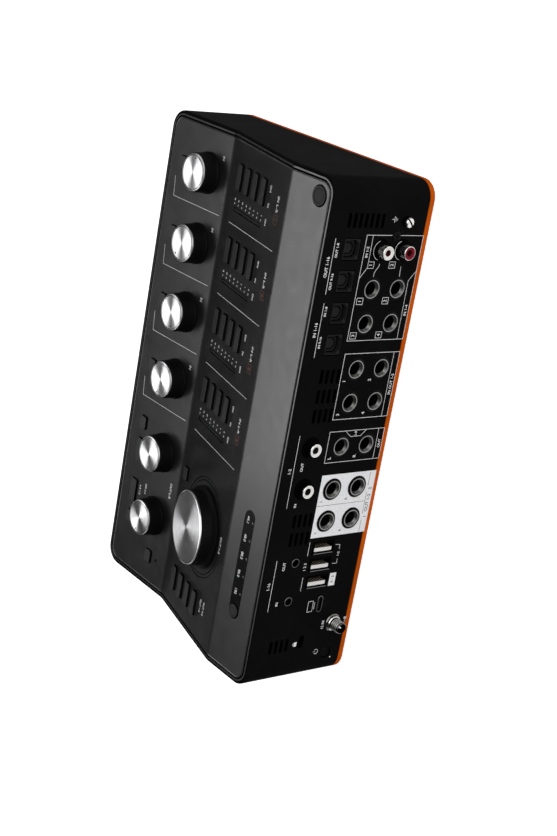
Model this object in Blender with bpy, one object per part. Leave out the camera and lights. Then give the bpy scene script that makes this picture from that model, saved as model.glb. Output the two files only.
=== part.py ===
"""Desktop audio interface: a stepped metal body on a coloured base, with knobs, buttons and sockets.

Sizes are in millimetres and become metres as each mesh is made.
+X is right, -Y is the front and +Z is up.
The origin is on the surface that the feet stand on, under the middle of the whole box, sockets included.
"""
import math

import bmesh
import bpy
from mathutils import Matrix, Vector

MM = 0.001

# Body
BODY_WIDTH = 264.0
BODY_DEPTH = 161.5
DECK_HEIGHT = 45.8
REAR_HEIGHT = 63.25
DECK_DEPTH = 57.3
STRIP_DEPTH = 33.7
BEND_RADIUS = 12.0
CORNER_RADIUS = 9.5
EDGE_ROUND = 0.9
WALL = 2.6
LEDGE_WIDTH = 1.8
LEDGE_THICKNESS = 1.5
PANEL_THICKNESS = 2.0
PANEL_GAP = 0.45
BASE_THICKNESS = 2.8
BASE_LIP_HEIGHT = 1.5
BASE_LIP_THICKNESS = 1.6
FOOT_HEIGHT = 2.0
FOOT_RADIUS = 7.0
FOOT_INSET = 24.0
FOOT_POCKET = 0.8

# Clearances
FIT = 0.3
RUN = 0.6
CUT_PAST = 2.0

# Control layout on the top
CHANNELS = 4
SIDE_MARGIN = 7.6
MONITOR_SECTION = 97.0
GAIN_KNOB_BACK = 38.7
FRONT_BUTTON_BACK = 16.2
ROW_PITCH = 10.23
ROWS = 4
ROW_SHIFT = -6.6
CHANNEL_BUTTON_OFFSET = -5.4
METER_OFFSET = 11.25
METER_WIDTH = 2.2
METER_LENGTH = 35.6
METER_CORNER = 0.7
RECESS_DEPTH = 0.5
MONITOR_SHIFT = 3.7
MONITOR_CENTRE = 61.4
PHONES_PITCH = 37.9
PHONES_SMALL_REACH = 28.4
PHONES_LONG_REACH = 12.2
MONITOR_BUTTON_INSET = 19.9
DIM_BUTTON_REACH = 17.3
DIM_BUTTON_UP = 8.0
TALKBACK_INSET = 18.4
TALKBACK_BACK = 39.6
MIC_BACK = 47.0
MIC_RADIUS = 0.8
HOME_BUTTON_INSET = 10.7
SYNC_WINDOW_INSET = 61.5
SYNC_WINDOW_LENGTH = 59.5
SYNC_WINDOW_WIDTH = 8.4
SYNC_WINDOW_BACK = 19.0
RING_INNER = 24.6
RING_OUTER = 26.9

# Knobs and their controls
KNOB_RADIUS = 11.0
KNOB_CAP_RADIUS = 9.8
KNOB_HEIGHT = 10.0
MONITOR_RADIUS = 22.0
MONITOR_CAP_RADIUS = 19.5
MONITOR_HEIGHT = 9.5
CAP_RIM = 0.7
CAP_RIM_HEIGHT = 0.5
SKIRT_STEP = 1.2
KNOB_ROOF = 2.4
SHAFT_RADIUS = 3.0
COLLAR_RADIUS = 3.6
POT_WIDTH = 11.0
POT_HEIGHT = 6.5

# Push buttons
LONG_BUTTON = 13.3
SMALL_BUTTON = 7.3
BUTTON_DEPTH = 5.4
BUTTON_CORNER = 0.9
BUTTON_PROUD = 1.2
BUTTON_EDGE = 0.3
HOME_BUTTON_RADIUS = 4.9
SYNC_BUTTON_RADIUS = 3.6
ROUND_PROUD = 0.6
POWER_RADIUS = 3.0
POWER_SUNK = 0.5
FLANGE = 0.7
FLANGE_THICKNESS = 1.4
BUTTON_TAIL = 1.7
BUTTON_TRAVEL = 0.6
POWER_TRAVEL = 1.2
SWITCH_WIDTH = 4.6

# Boards
BOARD_THICKNESS = 1.6
BOARD_MARGIN = 8.0
MAIN_BOARD_MARGIN = 16.0
BOARD_END_GAP = 3.0
JACK_DEPTH = 14.0
COMBO_DEPTH = 20.0
STRIP_BOARD_DROP = 5.0
STANDOFF_HEIGHT = 5.0
STANDOFF_RADIUS = 3.0
POST_PITCH = 66.0
CHIPS = 3
CHIP_SIZE = 18.0
CHIP_PITCH = 54.0
CHIP_HEIGHT = 1.8

# Rear sockets: shares of half the body's width, then sizes
LINE_SHARE = -0.535
INSERT_SHARE = -0.228
AUX_SHARE = 0.0114
SPEAKER_SHARE = 0.2515
JACK_PITCH = 17.3
JACK_LOW = 13.9
JACK_RISE = 16.3
JACK_BODY = 12.0
JACK_RING_RADIUS = 5.3
JACK_BORE_RADIUS = 3.25
JACK_PROUD = 0.7
JACK_CHAMFER = 0.9
OPTICAL_SHARE = -0.57
OPTICAL_COUNT = 4
OPTICAL_PITCH = 15.67
OPTICAL_DROP = 16.0
OPTICAL_WIDTH = 10.4
OPTICAL_HEIGHT = 9.9
OPTICAL_FRAME = 0.9
OPTICAL_CHAMFER = 1.6
OPTICAL_DEPTH = 11.5
SHUTTER_SUNK = 2.6
SHUTTER_THICKNESS = 0.9
PHONO_SHARE = -0.746
PHONO_LOW = 15.4
PHONO_RISE = 13.6
COAX_SHARE = 0.09
COAX_PITCH = 21.7
COAX_DROP = 15.2
RCA_BODY = 11.4
RCA_FLANGE_RADIUS = 5.2
RCA_FLANGE_PROUD = 0.6
RCA_BARREL_RADIUS = 3.8
RCA_BORE_RADIUS = 1.6
RCA_REACH = 6.2
MINI_SHARE = 0.5595
MINI_PITCH = 21.3
MINI_DROP = 18.2
MINI_RING_RADIUS = 2.4
MINI_BORE_RADIUS = 1.8
MINI_BODY = 8.0
USB_SHARE = 0.5
USB_COUNT = 3
USB_PITCH = 9.5
USB_Z = 28.5
USB_WIDTH = 6.6
USB_LENGTH = 13.6
USB_SHELL = 0.6
USB_DEPTH = 11.0
USB_TONGUE = 1.9
USB_TONGUE_LENGTH = 11.2
USB_PROUD = 0.6
DATA_SHARE = 0.6735
DATA_Z = 23.5
DATA_LENGTH = 9.1
DATA_WIDTH = 3.4
DATA_SHELL = 0.4
DATA_DEPTH = 6.5
DATA_TONGUE = 0.8
DATA_TONGUE_LENGTH = 6.7
DC_SHARE = 0.765
DC_Z = 12.3
DC_RADIUS = 4.75
DC_FLANGE = 1.8
DC_REACH = 6.5
DC_BORE_RADIUS = 2.9
DC_PIN_RADIUS = 1.0
DC_BORE_DEPTH = 10.0
POWER_SHARE = 0.898
POWER_Z = 12.7
LOCK_SHARE = 0.83
LOCK_Z = 31.1
LOCK_LENGTH = 7.0
LOCK_WIDTH = 3.2
LOCK_CORNER = 1.0
GROUND_SHARE = -0.8535
GROUND_Z = 16.3
GROUND_RADIUS = 2.75
GROUND_STUD = 1.6
GROUND_REACH = 4.0
GROUND_TAIL = 6.0

# Rear vents: shares of half the body's width, then sizes
VENT_LENGTH = 7.2
VENT_WIDTH = 1.9
VENT_PITCH = 3.45
VENT_COLUMN_PITCH = 10.1
SIDE_VENT_SHARE = -0.8535
SIDE_VENT_ROWS = 7
SIDE_VENT_DROP = 22.1
VENT_ROWS = 4
VENT_DROP = 17.6
LEFT_VENT_SHARE = -0.1925
LEFT_VENT_COLUMNS = 3
MIDDLE_VENT_SHARE = 0.3415
MIDDLE_VENT_COLUMNS = 2
RIGHT_VENT_SHARE = 0.833
RIGHT_VENT_COLUMNS = 1

# Front sockets
COMBO_RADIUS = 11.3
COMBO_PROUD = 0.8
COMBO_PIN_RADIUS = 1.5
COMBO_PIN_CIRCLE = 6.6
COMBO_PIN_DEPTH = 10.0
COMBO_PINS = 3
PHONES_JACK_SIDE = 8.5

# Facets
CORNER_STEPS = 4
BEND_STEPS = 2
HOLE_SIDES = 12
COMBO_SIDES = 16
SHAFT_SIDES = 8
POST_SIDES = 6
KNOB_SIDES = 18
MONITOR_SIDES = 30
RING_SIDES = 28
SHARP_DEGREES = 35.0

MATERIALS = {
    "body_black": ((0.018, 0.018, 0.019), 0.42, 0.0),
    "panel_grey": ((0.045, 0.045, 0.047), 0.48, 0.0),
    "base_orange": ((0.78, 0.19, 0.02), 0.4, 0.0),
    "rubber": ((0.02, 0.02, 0.02), 0.85, 0.0),
    "board_green": ((0.01, 0.09, 0.04), 0.5, 0.0),
    "knob_black": ((0.02, 0.02, 0.021), 0.4, 0.0),
    "button_black": ((0.03, 0.03, 0.032), 0.45, 0.0),
    "nickel": ((0.62, 0.61, 0.59), 0.28, 1.0),
    "socket_black": ((0.015, 0.015, 0.016), 0.5, 0.0),
    "socket_grey": ((0.11, 0.11, 0.112), 0.4, 0.7),
}

# Places worked out from the sizes
HALF_WIDTH = BODY_WIDTH / 2
HALF_DEPTH = BODY_DEPTH / 2
BASE_TOP = FOOT_HEIGHT + BASE_THICKNESS
DECK_Z = FOOT_HEIGHT + DECK_HEIGHT
STRIP_Z = FOOT_HEIGHT + REAR_HEIGHT
BEND_FRONT_Y = -HALF_DEPTH + DECK_DEPTH
BEND_REAR_Y = HALF_DEPTH - STRIP_DEPTH
SLOPE_RUN = BEND_REAR_Y - BEND_FRONT_Y
SLOPE_ANGLE = math.atan2(STRIP_Z - DECK_Z, SLOPE_RUN)
SLOPE_LENGTH = math.hypot(STRIP_Z - DECK_Z, SLOPE_RUN)
PANEL_INSET = WALL + PANEL_GAP
CHANNEL_PITCH = (BODY_WIDTH - 2 * SIDE_MARGIN - MONITOR_SECTION) / CHANNELS
MONITOR_X = HALF_WIDTH - MONITOR_CENTRE
REAR_BOARD_FRONT = HALF_DEPTH - WALL - JACK_DEPTH
ORIGIN = Vector((0, (max(DC_REACH, RCA_REACH) - COMBO_PROUD) / 2, 0))


def deck_place(x, back):
    """Local +Z out of the low front deck, at a distance back from the front edge."""
    return Matrix.Translation((x, -HALF_DEPTH + back, DECK_Z))


def slope_place(x, up):
    """Local +Z out of the slope and local +Y up it, at a distance up from the front bend."""
    middle = Vector((x, BEND_FRONT_Y, DECK_Z))
    turn = Matrix.Rotation(SLOPE_ANGLE, 4, "X")
    return Matrix.Translation(middle) @ turn @ Matrix.Translation((0, up, 0))


def strip_place(x, back):
    """Local +Z out of the high rear strip, at a distance in from the rear edge."""
    return Matrix.Translation((x, HALF_DEPTH - back, STRIP_Z))


def rear_place(x, height):
    """Local +Z out of the rear wall and local +Y up, at a height over the base's underside."""
    axes = Matrix(((-1, 0, 0, 0), (0, 0, 1, 0), (0, 1, 0, 0), (0, 0, 0, 1)))
    return Matrix.Translation((x, HALF_DEPTH, FOOT_HEIGHT + height)) @ axes


def front_place(x, height):
    """Local +Z out of the front wall and local +Y up, at a height over the base's underside."""
    axes = Matrix(((1, 0, 0, 0), (0, 0, -1, 0), (0, 1, 0, 0), (0, 0, 0, 1)))
    return Matrix.Translation((x, -HALF_DEPTH, FOOT_HEIGHT + height)) @ axes


def spread(centre, pitch, count):
    """Return evenly spaced places either side of a centre."""
    return [centre + (i - (count - 1) / 2) * pitch for i in range(count)]


def circle_outline(radius, sides):
    """Return a circle's points, anticlockwise."""
    angles = [math.tau * i / sides for i in range(sides)]
    return [(radius * math.cos(a), radius * math.sin(a)) for a in angles]


def rounded_outline(width, height, radius, steps):
    """Return a rounded rectangle's points, anticlockwise, without doubled points."""
    points = []
    for quarter, (sign_x, sign_y) in enumerate(((1, 1), (-1, 1), (-1, -1), (1, -1))):
        centre_x = sign_x * (width / 2 - radius)
        centre_y = sign_y * (height / 2 - radius)
        for step in range(steps + 1):
            angle = math.pi / 2 * (quarter + step / steps)
            point = Vector((centre_x + radius * math.cos(angle), centre_y + radius * math.sin(angle)))
            if not points or (point - points[-1]).length > MM and (point - points[0]).length > MM:
                points.append(point)
    return [(point.x, point.y) for point in points]


def optical_outline(shrink):
    """Return the square optical mouth with its two lower corners cut off, anticlockwise."""
    half_w = OPTICAL_WIDTH / 2 - shrink
    half_h = OPTICAL_HEIGHT / 2 - shrink
    low = -half_h + OPTICAL_CHAMFER
    side = half_w - OPTICAL_CHAMFER
    upper = [(half_w, low), (half_w, half_h), (-half_w, half_h), (-half_w, low)]
    return upper + [(-side, -half_h), (side, -half_h)]


def top_stations():
    """Return (y, z) points of the top's side profile, front to rear, with both bends rounded."""
    half_turn = BEND_RADIUS * math.tan(SLOPE_ANGLE / 2)
    points = []
    for bend_y, bend_z, start, end in (
        (BEND_FRONT_Y, DECK_Z, 0.0, SLOPE_ANGLE),
        (BEND_REAR_Y, STRIP_Z, SLOPE_ANGLE, 0.0),
    ):
        side = 1 if end > start else -1
        first_y = bend_y - half_turn * math.cos(start)
        first_z = bend_z - half_turn * math.sin(start)
        centre_y = first_y - side * BEND_RADIUS * math.sin(start)
        centre_z = first_z + side * BEND_RADIUS * math.cos(start)
        for step in range(BEND_STEPS + 1):
            angle = start + (end - start) * step / BEND_STEPS
            y = centre_y + side * BEND_RADIUS * math.sin(angle)
            z = centre_z - side * BEND_RADIUS * math.cos(angle)
            points.append((y, z))
    return points


STATIONS = top_stations()


def top_height(y):
    """Return the top's height at a depth, by the rounded side profile."""
    if y <= STATIONS[0][0]:
        return DECK_Z
    for (y0, z0), (y1, z1) in zip(STATIONS, STATIONS[1:]):
        if y <= y1:
            return z0 + (z1 - z0) * (y - y0) / (y1 - y0)
    return STRIP_Z


def body_outline(inset):
    """Return the body's plan outline at an inset, anticlockwise, with a point at every bend station."""
    half_w = HALF_WIDTH - inset
    half_d = HALF_DEPTH - inset
    radius = max(CORNER_RADIUS - inset, EDGE_ROUND)
    sides = [y for y, z in STATIONS]
    right = [(half_w, y) for y in sides]
    left = [(-half_w, y) for y in reversed(sides)]
    arcs = []
    for quarter, (sign_x, sign_y) in enumerate(((1, 1), (-1, 1), (-1, -1), (1, -1))):
        for step in range(CORNER_STEPS + 1):
            angle = math.pi / 2 * (quarter + step / CORNER_STEPS)
            x = sign_x * (half_w - radius) + radius * math.cos(angle)
            y = sign_y * (half_d - radius) + radius * math.sin(angle)
            arcs.append((x, y))
    half = len(arcs) // 2
    return right + arcs[:half] + left + arcs[half:]


def flat_ring(inset, z):
    """Return the body's outline at one height."""
    return [(x, y, z) for x, y in body_outline(inset)]


def top_ring(inset, drop):
    """Return the body's outline at a drop below its stepped top."""
    return [(x, y, top_height(y) - drop) for x, y in body_outline(inset)]


def add_points(bm, ring, place):
    """Add a ring of points in a place and return its vertices."""
    return [bm.verts.new(place @ Vector(point)) for point in ring]


def add_bands(bm, loops):
    """Join each loop of vertices to the next with quads."""
    for low, high in zip(loops, loops[1:]):
        for i in range(len(low)):
            j = (i + 1) % len(low)
            bm.faces.new((low[i], low[j], high[j], high[i]))


def add_loft(bm, rings, place=Matrix()):
    """Add a closed solid through rings of points, with flat ends."""
    loops = [add_points(bm, ring, place) for ring in rings]
    add_bands(bm, loops)
    bm.faces.new(reversed(loops[0]))
    bm.faces.new(loops[-1])


def add_prism(bm, outline, low, high, place=Matrix()):
    """Add an outline extruded along local Z."""
    add_loft(bm, [[(x, y, z) for x, y in outline] for z in (low, high)], place)


def add_box(bm, size_x, size_y, low, high, place=Matrix()):
    """Add a box centred on local Z."""
    half_x = size_x / 2
    half_y = size_y / 2
    outline = [(half_x, half_y), (-half_x, half_y), (-half_x, -half_y), (half_x, -half_y)]
    add_prism(bm, outline, low, high, place)


def add_turned(bm, profile, sides, place=Matrix()):
    """Add a solid turned about local Z from (radius, height) points that run up its outside."""
    add_loft(bm, [[(x, y, z) for x, y in circle_outline(r, sides)] for r, z in profile], place)


def add_stepped(bm, loops, place=Matrix()):
    """Add the top's three facets and bends as a closed slab between two stepped outlines."""
    count = len(STATIONS)
    rows = [add_points(bm, loop, place) for loop in loops]
    add_bands(bm, rows)
    for ring, upward in ((rows[0], False), (rows[-1], True)):
        half = len(ring) // 2
        right = ring[:count]
        left = ring[half:half + count][::-1]
        faces = [ring[count - 1:half + 1], ring[half + count - 1:] + ring[:1]]
        for i in range(count - 1):
            faces.append([right[i], right[i + 1], left[i + 1], left[i]])
        for face in faces:
            bm.faces.new(face if upward else reversed(face))


def paint(name):
    """Return the named material, made once."""
    found = bpy.data.materials.get(name)
    if found:
        return found
    colour, roughness, metallic = MATERIALS[name]
    material = bpy.data.materials.new(name)
    material.use_nodes = True
    shader = material.node_tree.nodes["Principled BSDF"]
    shader.inputs["Base Color"].default_value = (*colour, 1.0)
    shader.inputs["Roughness"].default_value = roughness
    shader.inputs["Metallic"].default_value = metallic
    return material


def make(name, bm, material, place=Matrix()):
    """Turn a mesh in millimetres into a named object in metres, standing in its place."""
    mesh = bpy.data.meshes.new(name)
    bmesh.ops.scale(bm, vec=(MM, MM, MM), verts=bm.verts)
    bm.to_mesh(mesh)
    bm.free()
    mesh.shade_smooth()
    mesh.set_sharp_from_angle(angle=math.radians(SHARP_DEGREES))
    thing = bpy.data.objects.new(name, mesh)
    bpy.context.collection.objects.link(thing)
    if material:
        mesh.materials.append(paint(material))
    thing.location = (place.to_translation() - ORIGIN) * MM
    thing.rotation_euler = place.to_euler()
    return thing


def combine(target, tool_mesh, operation):
    """Add or cut a hidden tool's solids on a target with a live boolean."""
    tool = make(f"{target.name}_tool_{len(target.modifiers)}", tool_mesh, None)
    tool.hide_render = True
    tool.display_type = "WIRE"
    boolean = target.modifiers.new(tool.name, "BOOLEAN")
    boolean.operation = operation
    boolean.solver = "EXACT"
    boolean.object = tool


def rear_x(share):
    """Return the x of a share of half the body's width."""
    return share * HALF_WIDTH


def channel_x(index):
    """Return the middle of an input channel's column."""
    return -HALF_WIDTH + SIDE_MARGIN + (index + 0.5) * CHANNEL_PITCH


def phones_xs():
    """Return the middles of the two phones columns."""
    return spread(MONITOR_X, PHONES_PITCH, 2)


def slope_rows():
    """Return the distances up the slope of the button rows."""
    return spread(SLOPE_LENGTH / 2 + ROW_SHIFT, ROW_PITCH, ROWS)


def jack_columns():
    """Return the middles of the columns of two large rear jacks."""
    columns = []
    for share, count in ((LINE_SHARE, 2), (INSERT_SHARE, 2), (AUX_SHARE, 1), (SPEAKER_SHARE, 2)):
        columns += spread(rear_x(share), JACK_PITCH, count)
    return columns


def jack_places():
    """Return where the large rear jacks come out."""
    return [rear_place(x, z) for x in jack_columns() for z in (JACK_LOW, JACK_LOW + JACK_RISE)]


def optical_places():
    """Return where the optical sockets come out."""
    xs = spread(rear_x(OPTICAL_SHARE), OPTICAL_PITCH, OPTICAL_COUNT)
    return [rear_place(x, REAR_HEIGHT - OPTICAL_DROP) for x in xs]


def coax_places():
    """Return where the digital coaxial sockets come out."""
    return [rear_place(x, REAR_HEIGHT - COAX_DROP) for x in spread(rear_x(COAX_SHARE), COAX_PITCH, 2)]


def phono_places():
    """Return where the turntable sockets come out."""
    return [rear_place(rear_x(PHONO_SHARE), z) for z in (PHONO_LOW, PHONO_LOW + PHONO_RISE)]


def mini_places():
    """Return where the small rear jacks come out."""
    return [rear_place(x, REAR_HEIGHT - MINI_DROP) for x in spread(rear_x(MINI_SHARE), MINI_PITCH, 2)]


def usb_places():
    """Return where the upright data hub sockets come out."""
    return [rear_place(x, USB_Z) for x in spread(rear_x(USB_SHARE), USB_PITCH, USB_COUNT)]


def data_place():
    """Return where the small computer socket comes out."""
    return rear_place(rear_x(DATA_SHARE), DATA_Z)


def front_height():
    """Return the height of the front sockets' middles."""
    return (BASE_THICKNESS + DECK_HEIGHT - PANEL_THICKNESS - POT_HEIGHT - BOARD_THICKNESS) / 2


def combo_places():
    """Return where the front input sockets come out."""
    return [front_place(channel_x(i), front_height()) for i in range(CHANNELS)]


def phones_jack_places(side):
    """Return where the front phones jacks come out, large on one side and small on the other."""
    return [front_place(x + side * PHONES_JACK_SIDE, front_height()) for x in phones_xs()]


def knob_places():
    """Return every knob's name, place, radii, height and facets."""
    small = (KNOB_RADIUS, KNOB_CAP_RADIUS, KNOB_HEIGHT, KNOB_SIDES)
    large = (MONITOR_RADIUS, MONITOR_CAP_RADIUS, MONITOR_HEIGHT, MONITOR_SIDES)
    knobs = []
    for i in range(CHANNELS):
        knobs.append((f"gain_knob_{i + 1}", deck_place(channel_x(i), GAIN_KNOB_BACK), *small))
    for i, x in enumerate(phones_xs()):
        knobs.append((f"phones_knob_{i + 1}", deck_place(x, GAIN_KNOB_BACK), *small))
    place = slope_place(MONITOR_X, SLOPE_LENGTH / 2 + MONITOR_SHIFT)
    knobs.append(("monitor_knob", place, *large))
    return knobs


def deck_buttons():
    """Return the name, place and length of every button on the front deck."""
    buttons = []
    for i in range(CHANNELS):
        buttons.append((f"gain_button_{i + 1}", deck_place(channel_x(i), FRONT_BUTTON_BACK), SMALL_BUTTON))
    for i, side in enumerate((-1, 1)):
        mono = deck_place(MONITOR_X + side * PHONES_SMALL_REACH, FRONT_BUTTON_BACK)
        source = deck_place(MONITOR_X + side * PHONES_LONG_REACH, FRONT_BUTTON_BACK)
        buttons.append((f"phones_mono_button_{i + 1}", mono, SMALL_BUTTON))
        buttons.append((f"phones_source_button_{i + 1}", source, LONG_BUTTON))
    talkback = deck_place(HALF_WIDTH - TALKBACK_INSET, TALKBACK_BACK)
    return buttons + [("talkback_button", talkback, SMALL_BUTTON)]


def slope_buttons():
    """Return the name, place and length of every button on the slope."""
    buttons = []
    for row, up in enumerate(slope_rows()):
        for i in range(CHANNELS):
            place = slope_place(channel_x(i) + CHANNEL_BUTTON_OFFSET, up)
            buttons.append((f"channel_{i + 1}_button_{row + 1}", place, LONG_BUTTON))
        place = slope_place(HALF_WIDTH - MONITOR_BUTTON_INSET, up)
        buttons.append((f"monitor_button_{row + 1}", place, LONG_BUTTON))
    dim = slope_place(MONITOR_X - DIM_BUTTON_REACH, DIM_BUTTON_UP)
    return buttons + [("dim_button", dim, SMALL_BUTTON)]


def sync_window_x():
    """Return the middle of the window on the rear strip."""
    return HALF_WIDTH - SYNC_WINDOW_INSET


def round_buttons():
    """Return the name, place and radius of the round buttons on the rear strip."""
    window_end = sync_window_x() + SYNC_WINDOW_LENGTH / 2 - SYNC_WINDOW_WIDTH / 2
    home = strip_place(-HALF_WIDTH + HOME_BUTTON_INSET, HOME_BUTTON_INSET)
    sync = strip_place(window_end, SYNC_WINDOW_BACK)
    return [("home_button", home, HOME_BUTTON_RADIUS), ("sync_button", sync, SYNC_BUTTON_RADIUS)]


def power_place():
    """Return where the power button comes out."""
    return rear_place(rear_x(POWER_SHARE), POWER_Z)


def button_outline(length, spare):
    """Return a bar button's outline with some spare all round."""
    return rounded_outline(length + 2 * spare, BUTTON_DEPTH + 2 * spare, BUTTON_CORNER + spare, 1)


def build_enclosure():
    """Make the wrap-round shell with its rim, the ledge under the panel and every wall opening."""
    seat = PANEL_THICKNESS + FIT
    soft = EDGE_ROUND * (1 - math.sqrt(0.5))
    rings = [
        flat_ring(0, BASE_TOP + FIT),
        top_ring(0, EDGE_ROUND),
        top_ring(soft, soft),
        top_ring(EDGE_ROUND, 0),
        top_ring(WALL, 0),
        top_ring(WALL, seat),
        top_ring(WALL + LEDGE_WIDTH, seat),
        top_ring(WALL + LEDGE_WIDTH, seat + LEDGE_THICKNESS),
        top_ring(WALL, seat + LEDGE_THICKNESS),
        flat_ring(WALL, BASE_TOP + FIT),
    ]
    bm = bmesh.new()
    loops = [add_points(bm, ring, Matrix()) for ring in rings]
    add_bands(bm, loops + loops[:1])
    enclosure = make("enclosure", bm, "body_black")

    cuts = bmesh.new()
    through = (-WALL - CUT_PAST / 2, CUT_PAST)
    round_holes = [(place, JACK_RING_RADIUS) for place in jack_places() + phones_jack_places(-1)]
    round_holes += [(place, MINI_RING_RADIUS) for place in mini_places() + phones_jack_places(1)]
    round_holes += [(place, RCA_FLANGE_RADIUS) for place in coax_places() + phono_places()]
    round_holes += [(rear_place(rear_x(DC_SHARE), DC_Z), DC_RADIUS)]
    round_holes += [(rear_place(rear_x(GROUND_SHARE), GROUND_Z), GROUND_STUD)]
    round_holes += [(power_place(), POWER_RADIUS)]
    for place, radius in round_holes:
        add_prism(cuts, circle_outline(radius + FIT, HOLE_SIDES), *through, place)
    for place in combo_places():
        add_prism(cuts, circle_outline(COMBO_RADIUS + FIT, COMBO_SIDES), *through, place)
    for place in optical_places():
        add_box(cuts, OPTICAL_WIDTH + 2 * FIT, OPTICAL_HEIGHT + 2 * FIT, *through, place)
    for place in usb_places():
        add_box(cuts, USB_WIDTH + 2 * FIT, USB_LENGTH + 2 * FIT, *through, place)
    data_hole = rounded_outline(DATA_LENGTH + 2 * FIT, DATA_WIDTH + 2 * FIT, DATA_WIDTH / 2 + FIT, 3)
    add_prism(cuts, data_hole, *through, data_place())
    lock = rounded_outline(LOCK_LENGTH, LOCK_WIDTH, LOCK_CORNER, 1)
    add_prism(cuts, lock, *through, rear_place(rear_x(LOCK_SHARE), LOCK_Z))
    for place in vent_places():
        add_box(cuts, VENT_LENGTH, VENT_WIDTH, *through, place)
    combine(enclosure, cuts, "DIFFERENCE")


def vent_places():
    """Return where every vent slot goes through the rear wall."""
    blocks = (
        (SIDE_VENT_SHARE, 1, SIDE_VENT_ROWS, SIDE_VENT_DROP),
        (LEFT_VENT_SHARE, LEFT_VENT_COLUMNS, VENT_ROWS, VENT_DROP),
        (MIDDLE_VENT_SHARE, MIDDLE_VENT_COLUMNS, VENT_ROWS, VENT_DROP),
        (RIGHT_VENT_SHARE, RIGHT_VENT_COLUMNS, VENT_ROWS, VENT_DROP),
    )
    places = []
    for share, columns, rows, drop in blocks:
        for x in spread(rear_x(share), VENT_COLUMN_PITCH, columns):
            places += [rear_place(x, z) for z in spread(REAR_HEIGHT - drop, VENT_PITCH, rows)]
    return places


def build_top_panel():
    """Make the inlaid top, bent in three facets, with its holes, meter slots and recesses."""
    bm = bmesh.new()
    add_stepped(bm, [top_ring(PANEL_INSET, PANEL_THICKNESS), top_ring(PANEL_INSET, 0)])
    panel = make("top_panel", bm, "panel_grey")

    cuts = bmesh.new()
    through = (-PANEL_THICKNESS - CUT_PAST, CUT_PAST)
    for name, place, length in deck_buttons() + slope_buttons():
        add_prism(cuts, button_outline(length, FIT), *through, place)
    for name, place, radius in round_buttons():
        add_prism(cuts, circle_outline(radius + FIT, HOLE_SIDES), *through, place)
    for name, place, *sizes in knob_places():
        add_prism(cuts, circle_outline(COLLAR_RADIUS + FIT, HOLE_SIDES), *through, place)
    mic = deck_place(HALF_WIDTH - TALKBACK_INSET, MIC_BACK)
    add_prism(cuts, circle_outline(MIC_RADIUS, POST_SIDES), *through, mic)
    combine(panel, cuts, "DIFFERENCE")

    recesses = bmesh.new()
    meter = rounded_outline(METER_WIDTH, METER_LENGTH, METER_CORNER, 1)
    for i in range(CHANNELS):
        place = slope_place(channel_x(i) + METER_OFFSET, SLOPE_LENGTH / 2 + ROW_SHIFT)
        add_prism(recesses, meter, -RECESS_DEPTH, CUT_PAST, place)
    window = rounded_outline(SYNC_WINDOW_LENGTH, SYNC_WINDOW_WIDTH, SYNC_WINDOW_WIDTH / 2, 4)
    add_prism(recesses, window, -RECESS_DEPTH, CUT_PAST, strip_place(sync_window_x(), SYNC_WINDOW_BACK))
    ring_place = slope_place(MONITOR_X, SLOPE_LENGTH / 2 + MONITOR_SHIFT)
    low = -RECESS_DEPTH
    loops = []
    for radius, z in ((RING_INNER, low), (RING_OUTER, low), (RING_OUTER, CUT_PAST), (RING_INNER, CUT_PAST)):
        ring = [(x, y, z) for x, y in circle_outline(radius, RING_SIDES)]
        loops.append(add_points(recesses, ring, ring_place))
    add_bands(recesses, loops + loops[:1])
    combine(panel, recesses, "DIFFERENCE")


def build_base():
    """Make the coloured base with its locating lip, and the feet in their pockets."""
    lip = WALL + FIT
    rings = [
        flat_ring(EDGE_ROUND / 2, FOOT_HEIGHT),
        flat_ring(0, FOOT_HEIGHT + EDGE_ROUND / 2),
        flat_ring(0, BASE_TOP),
        flat_ring(lip, BASE_TOP),
        flat_ring(lip, BASE_TOP + BASE_LIP_HEIGHT),
        flat_ring(lip + BASE_LIP_THICKNESS, BASE_TOP + BASE_LIP_HEIGHT),
        flat_ring(lip + BASE_LIP_THICKNESS, BASE_TOP),
    ]
    bm = bmesh.new()
    add_loft(bm, rings)
    base = make("base_plate", bm, "base_orange")

    pockets = bmesh.new()
    pocket_top = FOOT_HEIGHT + FOOT_POCKET
    for row, y in (("front", -HALF_DEPTH + FOOT_INSET), ("rear", HALF_DEPTH - FOOT_INSET)):
        for side, x in (("left", -HALF_WIDTH + FOOT_INSET), ("right", HALF_WIDTH - FOOT_INSET)):
            place = Matrix.Translation((x, y, 0))
            add_prism(pockets, circle_outline(FOOT_RADIUS + FIT, HOLE_SIDES), 0, pocket_top, place)
            foot = bmesh.new()
            profile = [(FOOT_RADIUS - RUN, 0), (FOOT_RADIUS, RUN), (FOOT_RADIUS, pocket_top - FIT)]
            add_turned(foot, profile, HOLE_SIDES)
            make(f"foot_{row}_{side}", foot, "rubber", place)
    combine(base, pockets, "DIFFERENCE")


def add_bush(bm, ring, reach, place):
    """Add a jack's round nose from its body out past the wall."""
    add_turned(bm, [(ring, -WALL - CUT_PAST), (ring, reach)], HOLE_SIDES, place)


def add_bore(bm, radius, reach, depth, place):
    """Add a jack's bore with a flared mouth, as a cutter."""
    flare = JACK_CHAMFER / 2
    profile = [(radius, -depth), (radius, reach - flare), (radius + 2 * flare, reach + flare)]
    add_turned(bm, profile, HOLE_SIDES, place)


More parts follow.
